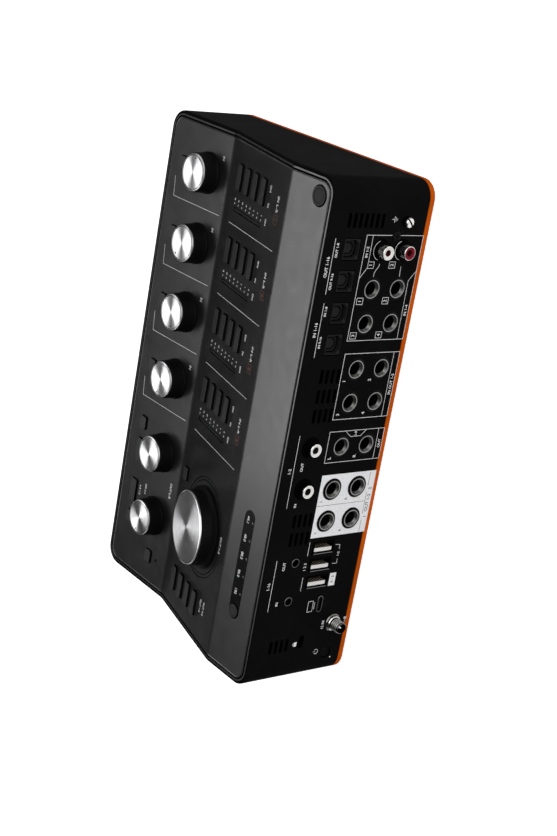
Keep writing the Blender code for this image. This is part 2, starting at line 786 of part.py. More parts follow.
def rca_profile(tail):
    """Return the turned outline of a coaxial socket, from its tail to its barrel's end."""
    return [
        (RCA_FLANGE_RADIUS, -tail),
        (RCA_FLANGE_RADIUS, RCA_FLANGE_PROUD),
        (RCA_BARREL_RADIUS, RCA_FLANGE_PROUD),
        (RCA_BARREL_RADIUS, RCA_REACH - JACK_CHAMFER / 2),
        (RCA_BARREL_RADIUS - JACK_CHAMFER / 2, RCA_REACH),
        (RCA_BORE_RADIUS, RCA_REACH),
        (RCA_BORE_RADIUS, -WALL),
    ]


def build_rear_board():
    """Make the upright rear board with the jacks and data sockets that it carries."""
    back = -WALL - JACK_DEPTH
    body = (back - BOARD_THICKNESS / 2, -WALL - FIT)
    low = BASE_TOP + BASE_LIP_HEIGHT + BOARD_END_GAP
    high = STRIP_Z - PANEL_THICKNESS - POT_HEIGHT - BOARD_THICKNESS - FIT
    bm = bmesh.new()
    place = Matrix.Translation((0, REAR_BOARD_FRONT - BOARD_THICKNESS / 2, 0))
    add_box(bm, BODY_WIDTH - 2 * BOARD_MARGIN, BOARD_THICKNESS, low, high, place)
    board = make("rear_board", bm, "socket_grey")

    bodies = bmesh.new()
    for x in jack_columns():
        add_box(bodies, JACK_BODY, JACK_BODY + JACK_RISE, *body, rear_place(x, JACK_LOW + JACK_RISE / 2))
    for place in optical_places():
        add_box(bodies, OPTICAL_WIDTH, OPTICAL_HEIGHT, body[0], 0, place)
    for place in coax_places():
        add_box(bodies, RCA_BODY, RCA_BODY, *body, place)
    for place in mini_places():
        add_box(bodies, MINI_BODY, MINI_BODY, *body, place)
    for place in usb_places():
        add_box(bodies, USB_WIDTH, USB_LENGTH, body[0], USB_PROUD, place)
    data_nose = rounded_outline(DATA_LENGTH, DATA_WIDTH, DATA_WIDTH / 2, 3)
    add_prism(bodies, data_nose, body[0], FIT, data_place())
    switch_front = -POWER_SUNK - WALL - FLANGE_THICKNESS - FIT - POWER_TRAVEL
    add_box(bodies, SWITCH_WIDTH, SWITCH_WIDTH, body[0], switch_front, power_place())
    combine(board, bodies, "UNION")

    noses = bmesh.new()
    for place in jack_places():
        add_bush(noses, JACK_RING_RADIUS, JACK_PROUD, place)
    for place in mini_places():
        add_bush(noses, MINI_RING_RADIUS, FIT, place)
    for place in coax_places():
        add_turned(noses, rca_profile(WALL + CUT_PAST), HOLE_SIDES, place)
    combine(board, noses, "UNION")

    bores = bmesh.new()
    for place in jack_places():
        add_bore(bores, JACK_BORE_RADIUS, JACK_PROUD, WALL + JACK_DEPTH - CUT_PAST, place)
    for place in mini_places():
        add_bore(bores, MINI_BORE_RADIUS, FIT, WALL + JACK_DEPTH - CUT_PAST, place)
    for place in optical_places():
        add_prism(bores, optical_outline(OPTICAL_FRAME), -OPTICAL_DEPTH, CUT_PAST, place)
    for place in usb_places():
        mouth = (USB_WIDTH - 2 * USB_SHELL, USB_LENGTH - 2 * USB_SHELL)
        add_box(bores, *mouth, -USB_DEPTH, CUT_PAST, place)
    mouth_width = DATA_WIDTH - 2 * DATA_SHELL
    mouth = rounded_outline(DATA_LENGTH - 2 * DATA_SHELL, mouth_width, mouth_width / 2, 3)
    add_prism(bores, mouth, -DATA_DEPTH, CUT_PAST, data_place())
    combine(board, bores, "DIFFERENCE")

    tongues = bmesh.new()
    for place in usb_places():
        aside = place @ Matrix.Translation((-USB_SHELL, 0, 0))
        add_box(tongues, USB_TONGUE, USB_TONGUE_LENGTH, -USB_DEPTH - USB_SHELL, -USB_SHELL, aside)
    tongue = (-DATA_DEPTH - DATA_SHELL, -DATA_SHELL)
    add_box(tongues, DATA_TONGUE_LENGTH, DATA_TONGUE, *tongue, data_place())
    combine(board, tongues, "UNION")


def build_shutters():
    """Make the sprung flaps inside the optical mouths, each on a hinge line under its top edge."""
    clear = OPTICAL_FRAME + FIT
    hinge = OPTICAL_HEIGHT / 2 - clear - SHUTTER_THICKNESS / 2
    depth = SHUTTER_SUNK + SHUTTER_THICKNESS / 2
    outline = [(x, y - hinge) for x, y in optical_outline(clear)]
    for i, place in enumerate(optical_places()):
        bm = bmesh.new()
        add_prism(bm, outline, -SHUTTER_THICKNESS / 2, SHUTTER_THICKNESS / 2)
        make(f"optical_shutter_{i + 1}", bm, "socket_black", place @ Matrix.Translation((0, hinge, -depth)))


def build_phono_sockets():
    """Make the stacked pair of turntable sockets on one block."""
    low, high = phono_places()
    bm = bmesh.new()
    middle = rear_place(rear_x(PHONO_SHARE), PHONO_LOW + PHONO_RISE / 2)
    add_box(bm, RCA_BODY, RCA_BODY + PHONO_RISE, -WALL - JACK_DEPTH + FIT, -WALL - FIT, middle)
    block = make("phono_sockets", bm, "socket_black")
    barrels = bmesh.new()
    for place in (low, high):
        add_turned(barrels, rca_profile(WALL + CUT_PAST), HOLE_SIDES, place)
    combine(block, barrels, "UNION")


def build_rear_fittings():
    """Make the threaded power inlet and the ground post."""
    flange_low = -WALL - FIT - DC_FLANGE
    inlet = bmesh.new()
    add_turned(inlet, [
        (DC_RADIUS, -DC_BORE_DEPTH - DC_FLANGE),
        (DC_RADIUS, flange_low),
        (DC_RADIUS + DC_FLANGE, flange_low),
        (DC_RADIUS + DC_FLANGE, -WALL - FIT),
        (DC_RADIUS, -WALL - FIT),
        (DC_RADIUS, DC_REACH - JACK_CHAMFER / 2),
        (DC_RADIUS - JACK_CHAMFER / 2, DC_REACH),
        (DC_BORE_RADIUS, DC_REACH),
        (DC_BORE_RADIUS, -DC_BORE_DEPTH),
        (DC_PIN_RADIUS, -DC_BORE_DEPTH),
        (DC_PIN_RADIUS, DC_REACH - JACK_CHAMFER),
    ], HOLE_SIDES, rear_place(rear_x(DC_SHARE), DC_Z))
    make("dc_inlet", inlet, "nickel")

    post = bmesh.new()
    add_turned(post, [
        (GROUND_STUD, -WALL - GROUND_TAIL),
        (GROUND_STUD, FIT),
        (GROUND_RADIUS, FIT),
        (GROUND_RADIUS, GROUND_REACH - JACK_CHAMFER),
        (GROUND_RADIUS - JACK_CHAMFER, GROUND_REACH),
    ], HOLE_SIDES, rear_place(rear_x(GROUND_SHARE), GROUND_Z))
    make("ground_post", post, "nickel")


def build_front_board():
    """Make the upright front board with the input sockets and the phones jacks."""
    back = -WALL - COMBO_DEPTH
    body = (back - BOARD_THICKNESS / 2, -WALL - FIT)
    low = BASE_TOP + BASE_LIP_HEIGHT + BOARD_END_GAP
    high = DECK_Z - PANEL_THICKNESS - POT_HEIGHT - BOARD_THICKNESS - RUN
    bm = bmesh.new()
    place = Matrix.Translation((0, -HALF_DEPTH + WALL + COMBO_DEPTH + BOARD_THICKNESS / 2, 0))
    add_box(bm, BODY_WIDTH - 2 * BOARD_MARGIN, BOARD_THICKNESS, low, high, place)
    board = make("front_board", bm, "socket_grey")

    noses = bmesh.new()
    for place in combo_places():
        add_turned(noses, [(COMBO_RADIUS, body[0]), (COMBO_RADIUS, COMBO_PROUD)], COMBO_SIDES, place)
    for place in phones_jack_places(-1):
        profile = [(JACK_RING_RADIUS, body[0]), (JACK_RING_RADIUS, JACK_PROUD)]
        add_turned(noses, profile, HOLE_SIDES, place)
    for place in phones_jack_places(1):
        add_turned(noses, [(MINI_RING_RADIUS, body[0]), (MINI_RING_RADIUS, FIT)], HOLE_SIDES, place)
    combine(board, noses, "UNION")

    bores = bmesh.new()
    for place in combo_places():
        add_bore(bores, JACK_BORE_RADIUS, COMBO_PROUD, WALL + COMBO_DEPTH - CUT_PAST, place)
        for i in range(COMBO_PINS):
            turn = Matrix.Rotation(math.tau * i / COMBO_PINS - math.pi / 2, 4, "Z")
            pin = place @ turn @ Matrix.Translation((COMBO_PIN_CIRCLE, 0, 0))
            add_prism(bores, circle_outline(COMBO_PIN_RADIUS, POST_SIDES), -COMBO_PIN_DEPTH, CUT_PAST, pin)
    for place in phones_jack_places(-1):
        add_bore(bores, JACK_BORE_RADIUS, JACK_PROUD, WALL + COMBO_DEPTH - CUT_PAST, place)
    for place in phones_jack_places(1):
        add_bore(bores, MINI_BORE_RADIUS, FIT, WALL + COMBO_DEPTH - CUT_PAST, place)
    combine(board, bores, "DIFFERENCE")


def add_controls(board, drop, buttons, knobs, post_places):
    """Fuse the switches, pots with their shafts and posts onto a board at a drop under the panel."""
    root = -PANEL_THICKNESS - drop - BOARD_THICKNESS / 2
    switch_top = -PANEL_THICKNESS - BUTTON_TAIL - BUTTON_TRAVEL - FIT
    bodies = bmesh.new()
    for place in buttons:
        add_box(bodies, SWITCH_WIDTH, SWITCH_WIDTH, root, switch_top, place)
    for name, place, radius, cap, height, sides in knobs:
        add_box(bodies, POT_WIDTH, POT_WIDTH, root, -PANEL_THICKNESS - FIT, place)
    for place in post_places:
        add_box(bodies, STANDOFF_RADIUS, STANDOFF_RADIUS, root, -PANEL_THICKNESS - FIT, place)
    combine(board, bodies, "UNION")
    shafts = bmesh.new()
    for name, place, radius, cap, height, sides in knobs:
        add_turned(shafts, [
            (COLLAR_RADIUS, -PANEL_THICKNESS - RUN),
            (COLLAR_RADIUS, 0),
            (SHAFT_RADIUS, 0),
            (SHAFT_RADIUS, height - KNOB_ROOF - FIT),
        ], SHAFT_SIDES, place)
    if knobs:
        combine(board, shafts, "UNION")


def build_control_boards():
    """Make the boards under the deck, the slope and the rear strip."""
    board_top = -PANEL_THICKNESS - POT_HEIGHT
    width = BODY_WIDTH - 2 * BOARD_MARGIN
    knobs = knob_places()

    deck = bmesh.new()
    deck_size = DECK_DEPTH - WALL - 2 * BOARD_END_GAP
    middle = deck_place(0, WALL + BOARD_END_GAP + deck_size / 2)
    add_box(deck, width, deck_size, board_top - BOARD_THICKNESS, board_top, middle)
    deck_board = make("deck_board", deck, "board_green")
    switches = [place for name, place, length in deck_buttons()]
    add_controls(deck_board, POT_HEIGHT, switches, knobs[:-1], [])

    slope = bmesh.new()
    slope_size = SLOPE_LENGTH - 2 * BOARD_END_GAP
    middle = slope_place(0, SLOPE_LENGTH / 2)
    add_box(slope, width, slope_size, board_top - BOARD_THICKNESS, board_top, middle)
    slope_board = make("slope_board", slope, "board_green")
    switches = [place for name, place, length in slope_buttons()]
    add_controls(slope_board, POT_HEIGHT, switches, knobs[-1:], [])

    strip = bmesh.new()
    strip_size = STRIP_DEPTH - WALL - LEDGE_WIDTH - 2 * BOARD_END_GAP
    middle_back = WALL + LEDGE_WIDTH + strip_size / 2
    strip_top = -PANEL_THICKNESS - STRIP_BOARD_DROP
    add_box(strip, width, strip_size, strip_top - BOARD_THICKNESS, strip_top, strip_place(0, middle_back))
    strip_board = make("strip_board", strip, "board_green")
    posts = [strip_place(x, middle_back) for x in spread(0, POST_PITCH, 2)]
    switches = [place for name, place, radius in round_buttons()]
    add_controls(strip_board, STRIP_BOARD_DROP, switches, [], posts)


def build_main_board():
    """Make the flat processing board on posts over the base."""
    front = -HALF_DEPTH + WALL + COMBO_DEPTH + BOARD_THICKNESS + BOARD_END_GAP
    rear = REAR_BOARD_FRONT - BOARD_THICKNESS - BOARD_END_GAP
    width = BODY_WIDTH - 2 * MAIN_BOARD_MARGIN
    middle = Matrix.Translation((0, (front + rear) / 2, BASE_TOP + FIT))
    bm = bmesh.new()
    add_box(bm, width, rear - front, STANDOFF_HEIGHT, STANDOFF_HEIGHT + BOARD_THICKNESS, middle)
    board = make("main_board", bm, "board_green")
    board_middle = STANDOFF_HEIGHT + BOARD_THICKNESS / 2
    posts = bmesh.new()
    for x in spread(0, width - 2 * BOARD_MARGIN, 2):
        for y in spread(0, rear - front - 2 * BOARD_MARGIN, 2):
            corner = middle @ Matrix.Translation((x, y, 0))
            add_prism(posts, circle_outline(STANDOFF_RADIUS, POST_SIDES), 0, board_middle, corner)
    chip_top = STANDOFF_HEIGHT + BOARD_THICKNESS + CHIP_HEIGHT
    for x in spread(0, CHIP_PITCH, CHIPS):
        add_box(posts, CHIP_SIZE, CHIP_SIZE, board_middle, chip_top, middle @ Matrix.Translation((x, 0, 0)))
    combine(board, posts, "UNION")


def build_knobs():
    """Make each knob, bored for its shaft, with a tapered skirt and a rimmed metal cap."""
    for name, place, radius, cap, height, sides in knob_places():
        bm = bmesh.new()
        add_turned(bm, [
            (SHAFT_RADIUS + FIT, height - KNOB_ROOF),
            (COLLAR_RADIUS + FIT, RUN + FIT),
            (radius, RUN),
            (radius, RUN + SKIRT_STEP),
            (cap + CAP_RIM, height - CAP_RIM_HEIGHT - FIT),
            (cap, height - CAP_RIM_HEIGHT),
            (cap, height - CAP_RIM_HEIGHT / 2),
            (cap - CAP_RIM, height),
        ], sides)
        make(name, bm, "knob_black", place)


def build_buttons():
    """Make every push button: bar caps over their switches, and round ones with a retaining flange."""
    low = -PANEL_THICKNESS - BUTTON_TAIL
    flange_top = -PANEL_THICKNESS - FIT
    for name, place, length in deck_buttons() + slope_buttons():
        bm = bmesh.new()
        steps = ((0, low), (0, BUTTON_PROUD - BUTTON_EDGE), (-BUTTON_EDGE, BUTTON_PROUD))
        add_loft(bm, [[(x, y, z) for x, y in button_outline(length, spare)] for spare, z in steps])
        make(name, bm, "button_black", place)
    for name, place, radius in round_buttons():
        bm = bmesh.new()
        add_turned(bm, [
            (radius + FLANGE, low),
            (radius + FLANGE, flange_top),
            (radius, flange_top),
            (radius, ROUND_PROUD - BUTTON_EDGE),
            (radius - BUTTON_EDGE, ROUND_PROUD),
        ], HOLE_SIDES)
        make(name, bm, "button_black", place)
    bm = bmesh.new()
    add_turned(bm, [
        (POWER_RADIUS + FLANGE, -WALL - FIT - FLANGE_THICKNESS),
        (POWER_RADIUS + FLANGE, -WALL - FIT),
        (POWER_RADIUS, -WALL - FIT),
        (POWER_RADIUS, -POWER_SUNK),
    ], HOLE_SIDES)
    make("power_button", bm, "button_black", power_place())


def main():
    """Clear the scene and build every piece."""
    for thing in list(bpy.data.objects):
        bpy.data.objects.remove(thing)
    build_enclosure()
    build_top_panel()
    build_base()
    build_rear_board()
    build_shutters()
    build_phono_sockets()
    build_rear_fittings()
    build_front_board()
    build_control_boards()
    build_main_board()
    build_knobs()
    build_buttons()


main()
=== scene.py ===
import math

import bmesh
import bpy
from mathutils import Matrix, Vector


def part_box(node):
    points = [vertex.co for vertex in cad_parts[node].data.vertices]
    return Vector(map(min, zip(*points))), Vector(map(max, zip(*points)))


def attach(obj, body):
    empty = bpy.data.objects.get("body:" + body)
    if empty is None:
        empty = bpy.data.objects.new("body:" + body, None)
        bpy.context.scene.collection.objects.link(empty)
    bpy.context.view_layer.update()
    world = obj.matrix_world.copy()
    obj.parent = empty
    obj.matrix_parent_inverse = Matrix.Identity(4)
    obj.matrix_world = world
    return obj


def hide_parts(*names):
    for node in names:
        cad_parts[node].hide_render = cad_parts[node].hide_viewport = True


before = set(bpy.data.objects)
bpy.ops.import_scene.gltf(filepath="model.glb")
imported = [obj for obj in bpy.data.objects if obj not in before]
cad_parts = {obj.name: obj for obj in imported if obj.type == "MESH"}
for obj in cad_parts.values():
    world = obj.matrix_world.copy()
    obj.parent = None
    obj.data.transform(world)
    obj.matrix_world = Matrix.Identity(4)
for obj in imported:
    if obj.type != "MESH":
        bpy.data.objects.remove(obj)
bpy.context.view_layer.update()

MM = 0.001


def cad_box(node):
    """Return a solid's lowest and highest corners in millimetres."""
    low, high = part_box(node)
    return low / MM, high / MM


def spread(centre, pitch, count):
    """Return evenly spaced places either side of a centre."""
    return [centre + (i - (count - 1) / 2) * pitch for i in range(count)]


# Body, from the frame
SHELL_LOW, SHELL_HIGH = cad_box("enclosure")
PANEL_LOW, PANEL_HIGH = cad_box("top_panel")
BASE_LOW, BASE_HIGH = cad_box("base_plate")
HALF_WIDTH = SHELL_HIGH.x
FRONT_Y = SHELL_LOW.y
REAR_Y = SHELL_HIGH.y
STRIP_Z = SHELL_HIGH.z
UNDERSIDE_Z = BASE_LOW.z
PANEL_THICKNESS = 2.0
DECK_Z = PANEL_LOW.z + PANEL_THICKNESS
PANEL_INSET = HALF_WIDTH - PANEL_HIGH.x

# Body forms
DECK_DEPTH = 57.3
STRIP_DEPTH = 33.7
BEND_RADIUS = 12.0
CORNER_RADIUS = 9.5
EDGE_ROUND = 0.9
WALL = 2.6
LEDGE_WIDTH = 1.8
LEDGE_THICKNESS = 1.5
RIM_LIP = 0.25
BASE_TOP = UNDERSIDE_Z + 2.8
FOOT_DISH_SHARE = 0.6
FOOT_DISH_TOP_SHARE = 0.55
FIT = 0.3
RUN = 0.6
CUT_PAST = 2.0
RIM_ROUND = 1.15
RIM_GROOVE = 0.4
GROOVE_DEPTH = 0.5
STEP_WIDTH = 0.35
STEP_DEPTH = 0.8
RIDGE_WIDTH = 0.55
RIDGE_FALL = 0.12

# Top layout
CHANNELS = 4
SIDE_MARGIN = 7.6
MONITOR_SECTION = 97.0
GAIN_KNOB_BACK = 38.7
FRONT_BUTTON_BACK = 16.2
ROW_PITCH = 10.23
ROWS = 4
ROW_SHIFT = -6.6
CHANNEL_BUTTON_OFFSET = -5.4
METER_OFFSET = 11.25
METER_WIDTH = 2.2
METER_LENGTH = 35.6
METER_LINE = 0.5
RECESS_DEPTH = 0.5
MONITOR_SHIFT = 3.7
MONITOR_CENTRE = 61.4
PHONES_PITCH = 37.9
PHONES_SMALL_REACH = 28.4
PHONES_LONG_REACH = 12.2
MONITOR_BUTTON_INSET = 19.9
DIM_BUTTON_REACH = 17.3
DIM_BUTTON_UP = 8.0
TALKBACK_INSET = 18.4
TALKBACK_BACK = 39.6
MIC_BACK = 47.0
MIC_RADIUS = 0.8
HOME_BUTTON_INSET = 10.7
SYNC_WINDOW_INSET = 61.5
SYNC_WINDOW_LENGTH = 59.5
SYNC_WINDOW_WIDTH = 8.4
SYNC_WINDOW_BACK = 19.0
RING_INNER = 24.6
RING_OUTER = 26.9

# Knobs and buttons
KNOB_RADIUS = 11.0
KNOB_CAP_RADIUS = 9.8
KNOB_HEIGHT = 10.0
MONITOR_RADIUS = 22.0
MONITOR_CAP_RADIUS = 19.5
MONITOR_HEIGHT = 9.5
CAP_THICKNESS = 1.1
CAP_BEVEL = 0.7
CAP_SEAT = 0.42
CAP_GROOVE_WIDTH = 0.3
CAP_GROOVE_DEPTH = 0.15
CAP_GROOVE_SIDE = 0.05
SKIRT_STEP = 1.2
KNOB_ROOF = 2.4
SHAFT_RADIUS = 3.0
COLLAR_RADIUS = 3.6
DOT_RADIUS = 0.5
DOT_REACH = 7.6
DOT_RISE = 0.04
DOT_TOP_SHARE = 0.8
POINTER_TURNS = {
    "gain_knob_1": -84, "gain_knob_2": 124, "gain_knob_3": 79, "gain_knob_4": 101,
    "phones_knob_1": 82, "phones_knob_2": 103,
}
LONG_BUTTON = 13.3
SMALL_BUTTON = 7.3
BUTTON_DEPTH = 5.4
BUTTON_CORNER = 0.9
BUTTON_PROUD = 1.2
BUTTON_EDGE = 0.35
BUTTON_TAIL = 1.7
HOME_BUTTON_RADIUS = 4.9
SYNC_BUTTON_RADIUS = 3.6
ROUND_PROUD = 0.6
ROUND_GROOVE_STEPS = ((0.72, 0.0), (0.68, 0.12), (0.52, 0.12), (0.48, 0.0))
POWER_RADIUS = 3.0
POWER_SUNK = 0.5
POWER_DISH_SHARE = 0.4
FLANGE = 0.7
FLANGE_THICKNESS = 1.4

# Rear sockets
JACK_PITCH = 17.3
LINE_JACK_XS = spread(-70.62, JACK_PITCH, 2)
INSERT_JACK_XS = spread(-30.1, JACK_PITCH, 2)
AUX_JACK_X = 1.5
SPEAKER_X = 33.2
SPEAKER_JACK_XS = spread(SPEAKER_X, JACK_PITCH, 2)
JACK_XS = (*LINE_JACK_XS, *INSERT_JACK_XS, AUX_JACK_X, *SPEAKER_JACK_XS)
JACK_ZS = (13.9, 30.2)
JACK_RING_RADIUS = 5.3
JACK_COLLAR_RADIUS = 5.85
JACK_CONE_RADIUS = 4.6
JACK_CONE_DEPTH = 0.7
JACK_LIP = 0.4
JACK_BORE_RADIUS = 3.25
JACK_BODY_RADIUS = 6.0
JACK_BODY_SIDES = 4
JACK_PROUD = 0.7
JACK_DEPTH = 14.0
COLLAR_PROUD = 0.2
COLLAR_GAP = 0.04
OPTICAL_WIDTH = 10.4
OPTICAL_HEIGHT = 9.9
OPTICAL_FRAME = 0.9
OPTICAL_CHAMFER = 1.6
OPTICAL_DEPTH = 11.5
OPTICAL_GAP = 0.15
OPTICAL_LIP = 0.25
OPTICAL_PROUD = 0.15
OPTICAL_DISH = 0.4
SHUTTER_SUNK = 2.6
SHUTTER_THICKNESS = 0.9
FLAP_BORDER = 1.0
FLAP_GROOVE = 0.5
FLAP_GROOVE_DEPTH = 0.4
COAX_REACH = 4.3
COAX_RIM = 0.45
COAX_BORE_RADIUS = 1.8
PHONO_X = -98.47
PHONO_ZS = (15.4, 29.0)
RCA_FLANGE_RADIUS = 5.2
RCA_FLANGE_PROUD = 0.6
RCA_SHOULDER = 0.5
RCA_SHOULDER_HEIGHT = 1.6
RCA_BARREL_RADIUS = 3.55
RCA_LIP = 0.45
RCA_LIP_MIDDLE = 0.12
RCA_LIP_ROUND = 0.25
RCA_RIM = 0.4
RCA_BORE_RADIUS = 1.6
RCA_INSULATOR_DEPTH = 1.2
RCA_REACH = 6.2
# Angles in degrees of the painted highlight arcs on the turntable sockets' flanges.
PHONO_HIGHLIGHT_ARC = (20, 165)
MINI_RING_RADIUS = 2.4
MINI_BORE_RADIUS = 1.8
USB_WIDTH = 6.6
USB_LENGTH = 13.6
USB_SHELL = 0.6
USB_DEPTH = 11.0
USB_TONGUE = 2.0
USB_PROUD = 0.6
USB_CORNER = 0.6
USB_INNER_CORNER = 0.25
USB_LIP_WIDTH = 0.42
USB_LIP_RISE = 0.05
USB_TONGUE_SIDE = 1.0
USB_FACE = 0.1
USB_FACE_OUT = 0.06
USB_CONTACTS = 6
USB_CONTACT_PITCH = 1.75
USB_CONTACT = 0.12
USB_CONTACT_WIDTH = 0.525
USB_CONTACT_SUNK = 0.4
DATA_LENGTH = 9.1
DATA_WIDTH = 3.4
DATA_SHELL = 0.4
DATA_DEPTH = 6.5
DATA_TONGUE = 0.8
DATA_TONGUE_CORNER = 0.25
DC_RADIUS = 3.2
DC_REACH = 8.2
DC_BORE_RADIUS = 2.3
DC_BORE_DEPTH = 10.0
DC_TIP = 0.3
DC_MOUTH = 0.5
DC_PIN_RADIUS = 0.8
DC_PIN_SUNK = 1.1
DC_PIN_TAPER = 0.5
THREAD_PITCH = 1.2
THREAD_DEPTH = 0.35
THREAD_CREST_SHARES = (0.4, 0.7)
THREAD_FALL_SHARE = 0.95
NUT_RADIUS = 4.8
NUT_HEIGHT = 1.0
NUT_NECK_RADIUS = 4.0
NUT_NECK_TOP = 2.2
NUT_GAP = 0.02
LOCK_LENGTH = 7.0
LOCK_WIDTH = 3.2
GROUND_X = -112.66
GROUND_Z = 16.3
GROUND_RADIUS = 2.75
GROUND_REACH = 4.0
GROUND_FACETS = 10
GROUND_SHANK_SHARE = 0.6
GROUND_GROOVES = (0.9, 1.8)
GROUND_GROOVE_WIDTH = 0.5
GROUND_GROOVE_SHARE = 0.82
GROUND_CROWN = 1.4
GROUND_SLOT = 0.9
GROUND_SLOT_TURN = math.radians(-50)
SCREW_RADIUS = 2.5
SCREW_HEIGHT = 1.1
SCREW_SIDE_SHARE = 0.5
SCREW_DOME_SHARE = 0.55
SCREW_SLOT_WIDTH = 0.7
SCREW_SLOT_LENGTH = 2.6
SCREW_SLOT_LOW = 0.35
VENT_LENGTH = 7.2
VENT_WIDTH = 1.9
VENT_PITCH = 3.45
SIDE_VENT_Z = 41.15
VENT_Z = 45.65
SIDE_VENT_ROWS = 7
VENT_ROWS = 4
VENT_COLUMN_PITCH = 10.1
VENT_XS = (*spread(-25.41, VENT_COLUMN_PITCH, 3), *spread(45.08, VENT_COLUMN_PITCH, 2), 109.96)

# Front sockets
COMBO_RADIUS = 11.3
COMBO_PROUD = 0.8
COMBO_DEPTH = 20.0
COMBO_SOFT = 0.3
COMBO_LIP = 1.0
COMBO_SLOPE = 0.6
COMBO_SUNK = 0.6
COMBO_FACE_RADIUS = 9.0
COMBO_PIN_RADIUS = 1.5
COMBO_PIN_CIRCLE = 6.6
COMBO_PINS = 3
FRONT_Z = 19.25
PHONES_JACK_SIDE = 8.5
PHONES_JACK_DEPTH = 18.0

# Print
PRINT_RISE = 0.06
LINE_WIDTH = 0.22
TEXT_WEIGHT = 0.025
FINE_LINE = 0.2
NUMERAL_SIZE = 2.6
MITRE_LIMIT = 0.5

# Small edges
SOFT = 0.2
THIN_SOFT = 0.15
FINE_SOFT = 0.1
SOFT_MIDDLE_SHARE = 0.3
TAIL = 1.0
CARD_THICKNESS = 1.6

# Facets
CORNER_STEPS = 10
WINDOW_STEPS = 12
BEND_STEPS = 6
ROUND_STEPS = 5
ARC_STEPS = 24
GLYPH_STEPS = 3
RING_SIDES = 48
KNOB_SIDES = 96
SHARP = math.radians(35)

# Worked out from the sizes
BEND_FRONT_Y = FRONT_Y + DECK_DEPTH
BEND_REAR_Y = REAR_Y - STRIP_DEPTH
SLOPE_RUN = BEND_REAR_Y - BEND_FRONT_Y
SLOPE_ANGLE = math.atan2(STRIP_Z - DECK_Z, SLOPE_RUN)
SLOPE_LENGTH = math.hypot(STRIP_Z - DECK_Z, SLOPE_RUN)
CHANNEL_PITCH = (2 * HALF_WIDTH - 2 * SIDE_MARGIN - MONITOR_SECTION) / CHANNELS
MONITOR_X = HALF_WIDTH - MONITOR_CENTRE
PHONES_XS = spread(MONITOR_X, PHONES_PITCH, 2)
SLOPE_ROWS = spread(SLOPE_LENGTH / 2 + ROW_SHIFT, ROW_PITCH, ROWS)
WINDOW_X = HALF_WIDTH - SYNC_WINDOW_INSET
MIDDLE_Y = (FRONT_Y + REAR_Y) / 2
HALF_DEPTH = (REAR_Y - FRONT_Y) / 2

# Places


def deck_place(x, back):
    """Local +Z out of the low front deck, at a distance back from the front edge."""
    return Matrix.Translation((x, FRONT_Y + back, DECK_Z))


def slope_place(x, up):
    """Local +Z out of the slope and local +Y up it, at a distance up from the front bend."""
    turn = Matrix.Rotation(SLOPE_ANGLE, 4, "X")
    return Matrix.Translation((x, BEND_FRONT_Y, DECK_Z)) @ turn @ Matrix.Translation((0, up, 0))


def strip_place(x, back):
    """Local +Z out of the high rear strip, at a distance in from the rear edge."""
    return Matrix.Translation((x, REAR_Y - back, STRIP_Z))


def rear_place(x, height):
    """Local +Z out of the rear wall and local +Y up, at a height over the underside."""
    axes = Matrix(((-1, 0, 0, 0), (0, 0, 1, 0), (0, 1, 0, 0), (0, 0, 0, 1)))
    return Matrix.Translation((x, REAR_Y, UNDERSIDE_Z + height)) @ axes


def rear_row(xs, height):
    """Return a row of places across the rear wall."""
    return [rear_place(x, height) for x in xs]


def front_place(x, height):
    """Local +Z out of the front wall and local +Y up, at a height over the underside."""
    axes = Matrix(((1, 0, 0, 0), (0, 0, -1, 0), (0, 1, 0, 0), (0, 0, 0, 1)))
    return Matrix.Translation((x, FRONT_Y, UNDERSIDE_Z + height)) @ axes


def shift(x, y, z=0.0):
    """Return a move in a place's own axes."""
    return Matrix.Translation((x, y, z))


def channel_x(index):
    """Return the middle of an input channel's column."""
    return -HALF_WIDTH + SIDE_MARGIN + (index + 0.5) * CHANNEL_PITCH


def bar_buttons():
    """Return the name, place and length of every bar button."""
    buttons = []
    for i in range(CHANNELS):
        buttons.append((f"gain_button_{i + 1}", deck_place(channel_x(i), FRONT_BUTTON_BACK), SMALL_BUTTON))
    for i, side in enumerate((-1, 1)):
        small = deck_place(MONITOR_X + side * PHONES_SMALL_REACH, FRONT_BUTTON_BACK)
        long = deck_place(MONITOR_X + side * PHONES_LONG_REACH, FRONT_BUTTON_BACK)
        buttons.append((f"phones_mono_button_{i + 1}", small, SMALL_BUTTON))
        buttons.append((f"phones_source_button_{i + 1}", long, LONG_BUTTON))
    buttons.append(("talkback_button", deck_place(HALF_WIDTH - TALKBACK_INSET, TALKBACK_BACK), SMALL_BUTTON))
    for row, up in enumerate(SLOPE_ROWS):
        for i in range(CHANNELS):
            place = slope_place(channel_x(i) + CHANNEL_BUTTON_OFFSET, up)
            buttons.append((f"channel_{i + 1}_button_{row + 1}", place, LONG_BUTTON))
        place = slope_place(HALF_WIDTH - MONITOR_BUTTON_INSET, up)
        buttons.append((f"monitor_button_{row + 1}", place, LONG_BUTTON))
    buttons.append(("dim_button", slope_place(MONITOR_X - DIM_BUTTON_REACH, DIM_BUTTON_UP), SMALL_BUTTON))
    return buttons


def round_buttons():
    """Return the name, place and radius of the round buttons on the rear strip."""
    window_end = WINDOW_X + SYNC_WINDOW_LENGTH / 2 - SYNC_WINDOW_WIDTH / 2
    home = strip_place(-HALF_WIDTH + HOME_BUTTON_INSET, HOME_BUTTON_INSET)
    sync = strip_place(window_end, SYNC_WINDOW_BACK)
    return [("home_button", home, HOME_BUTTON_RADIUS), ("sync_button", sync, SYNC_BUTTON_RADIUS)]


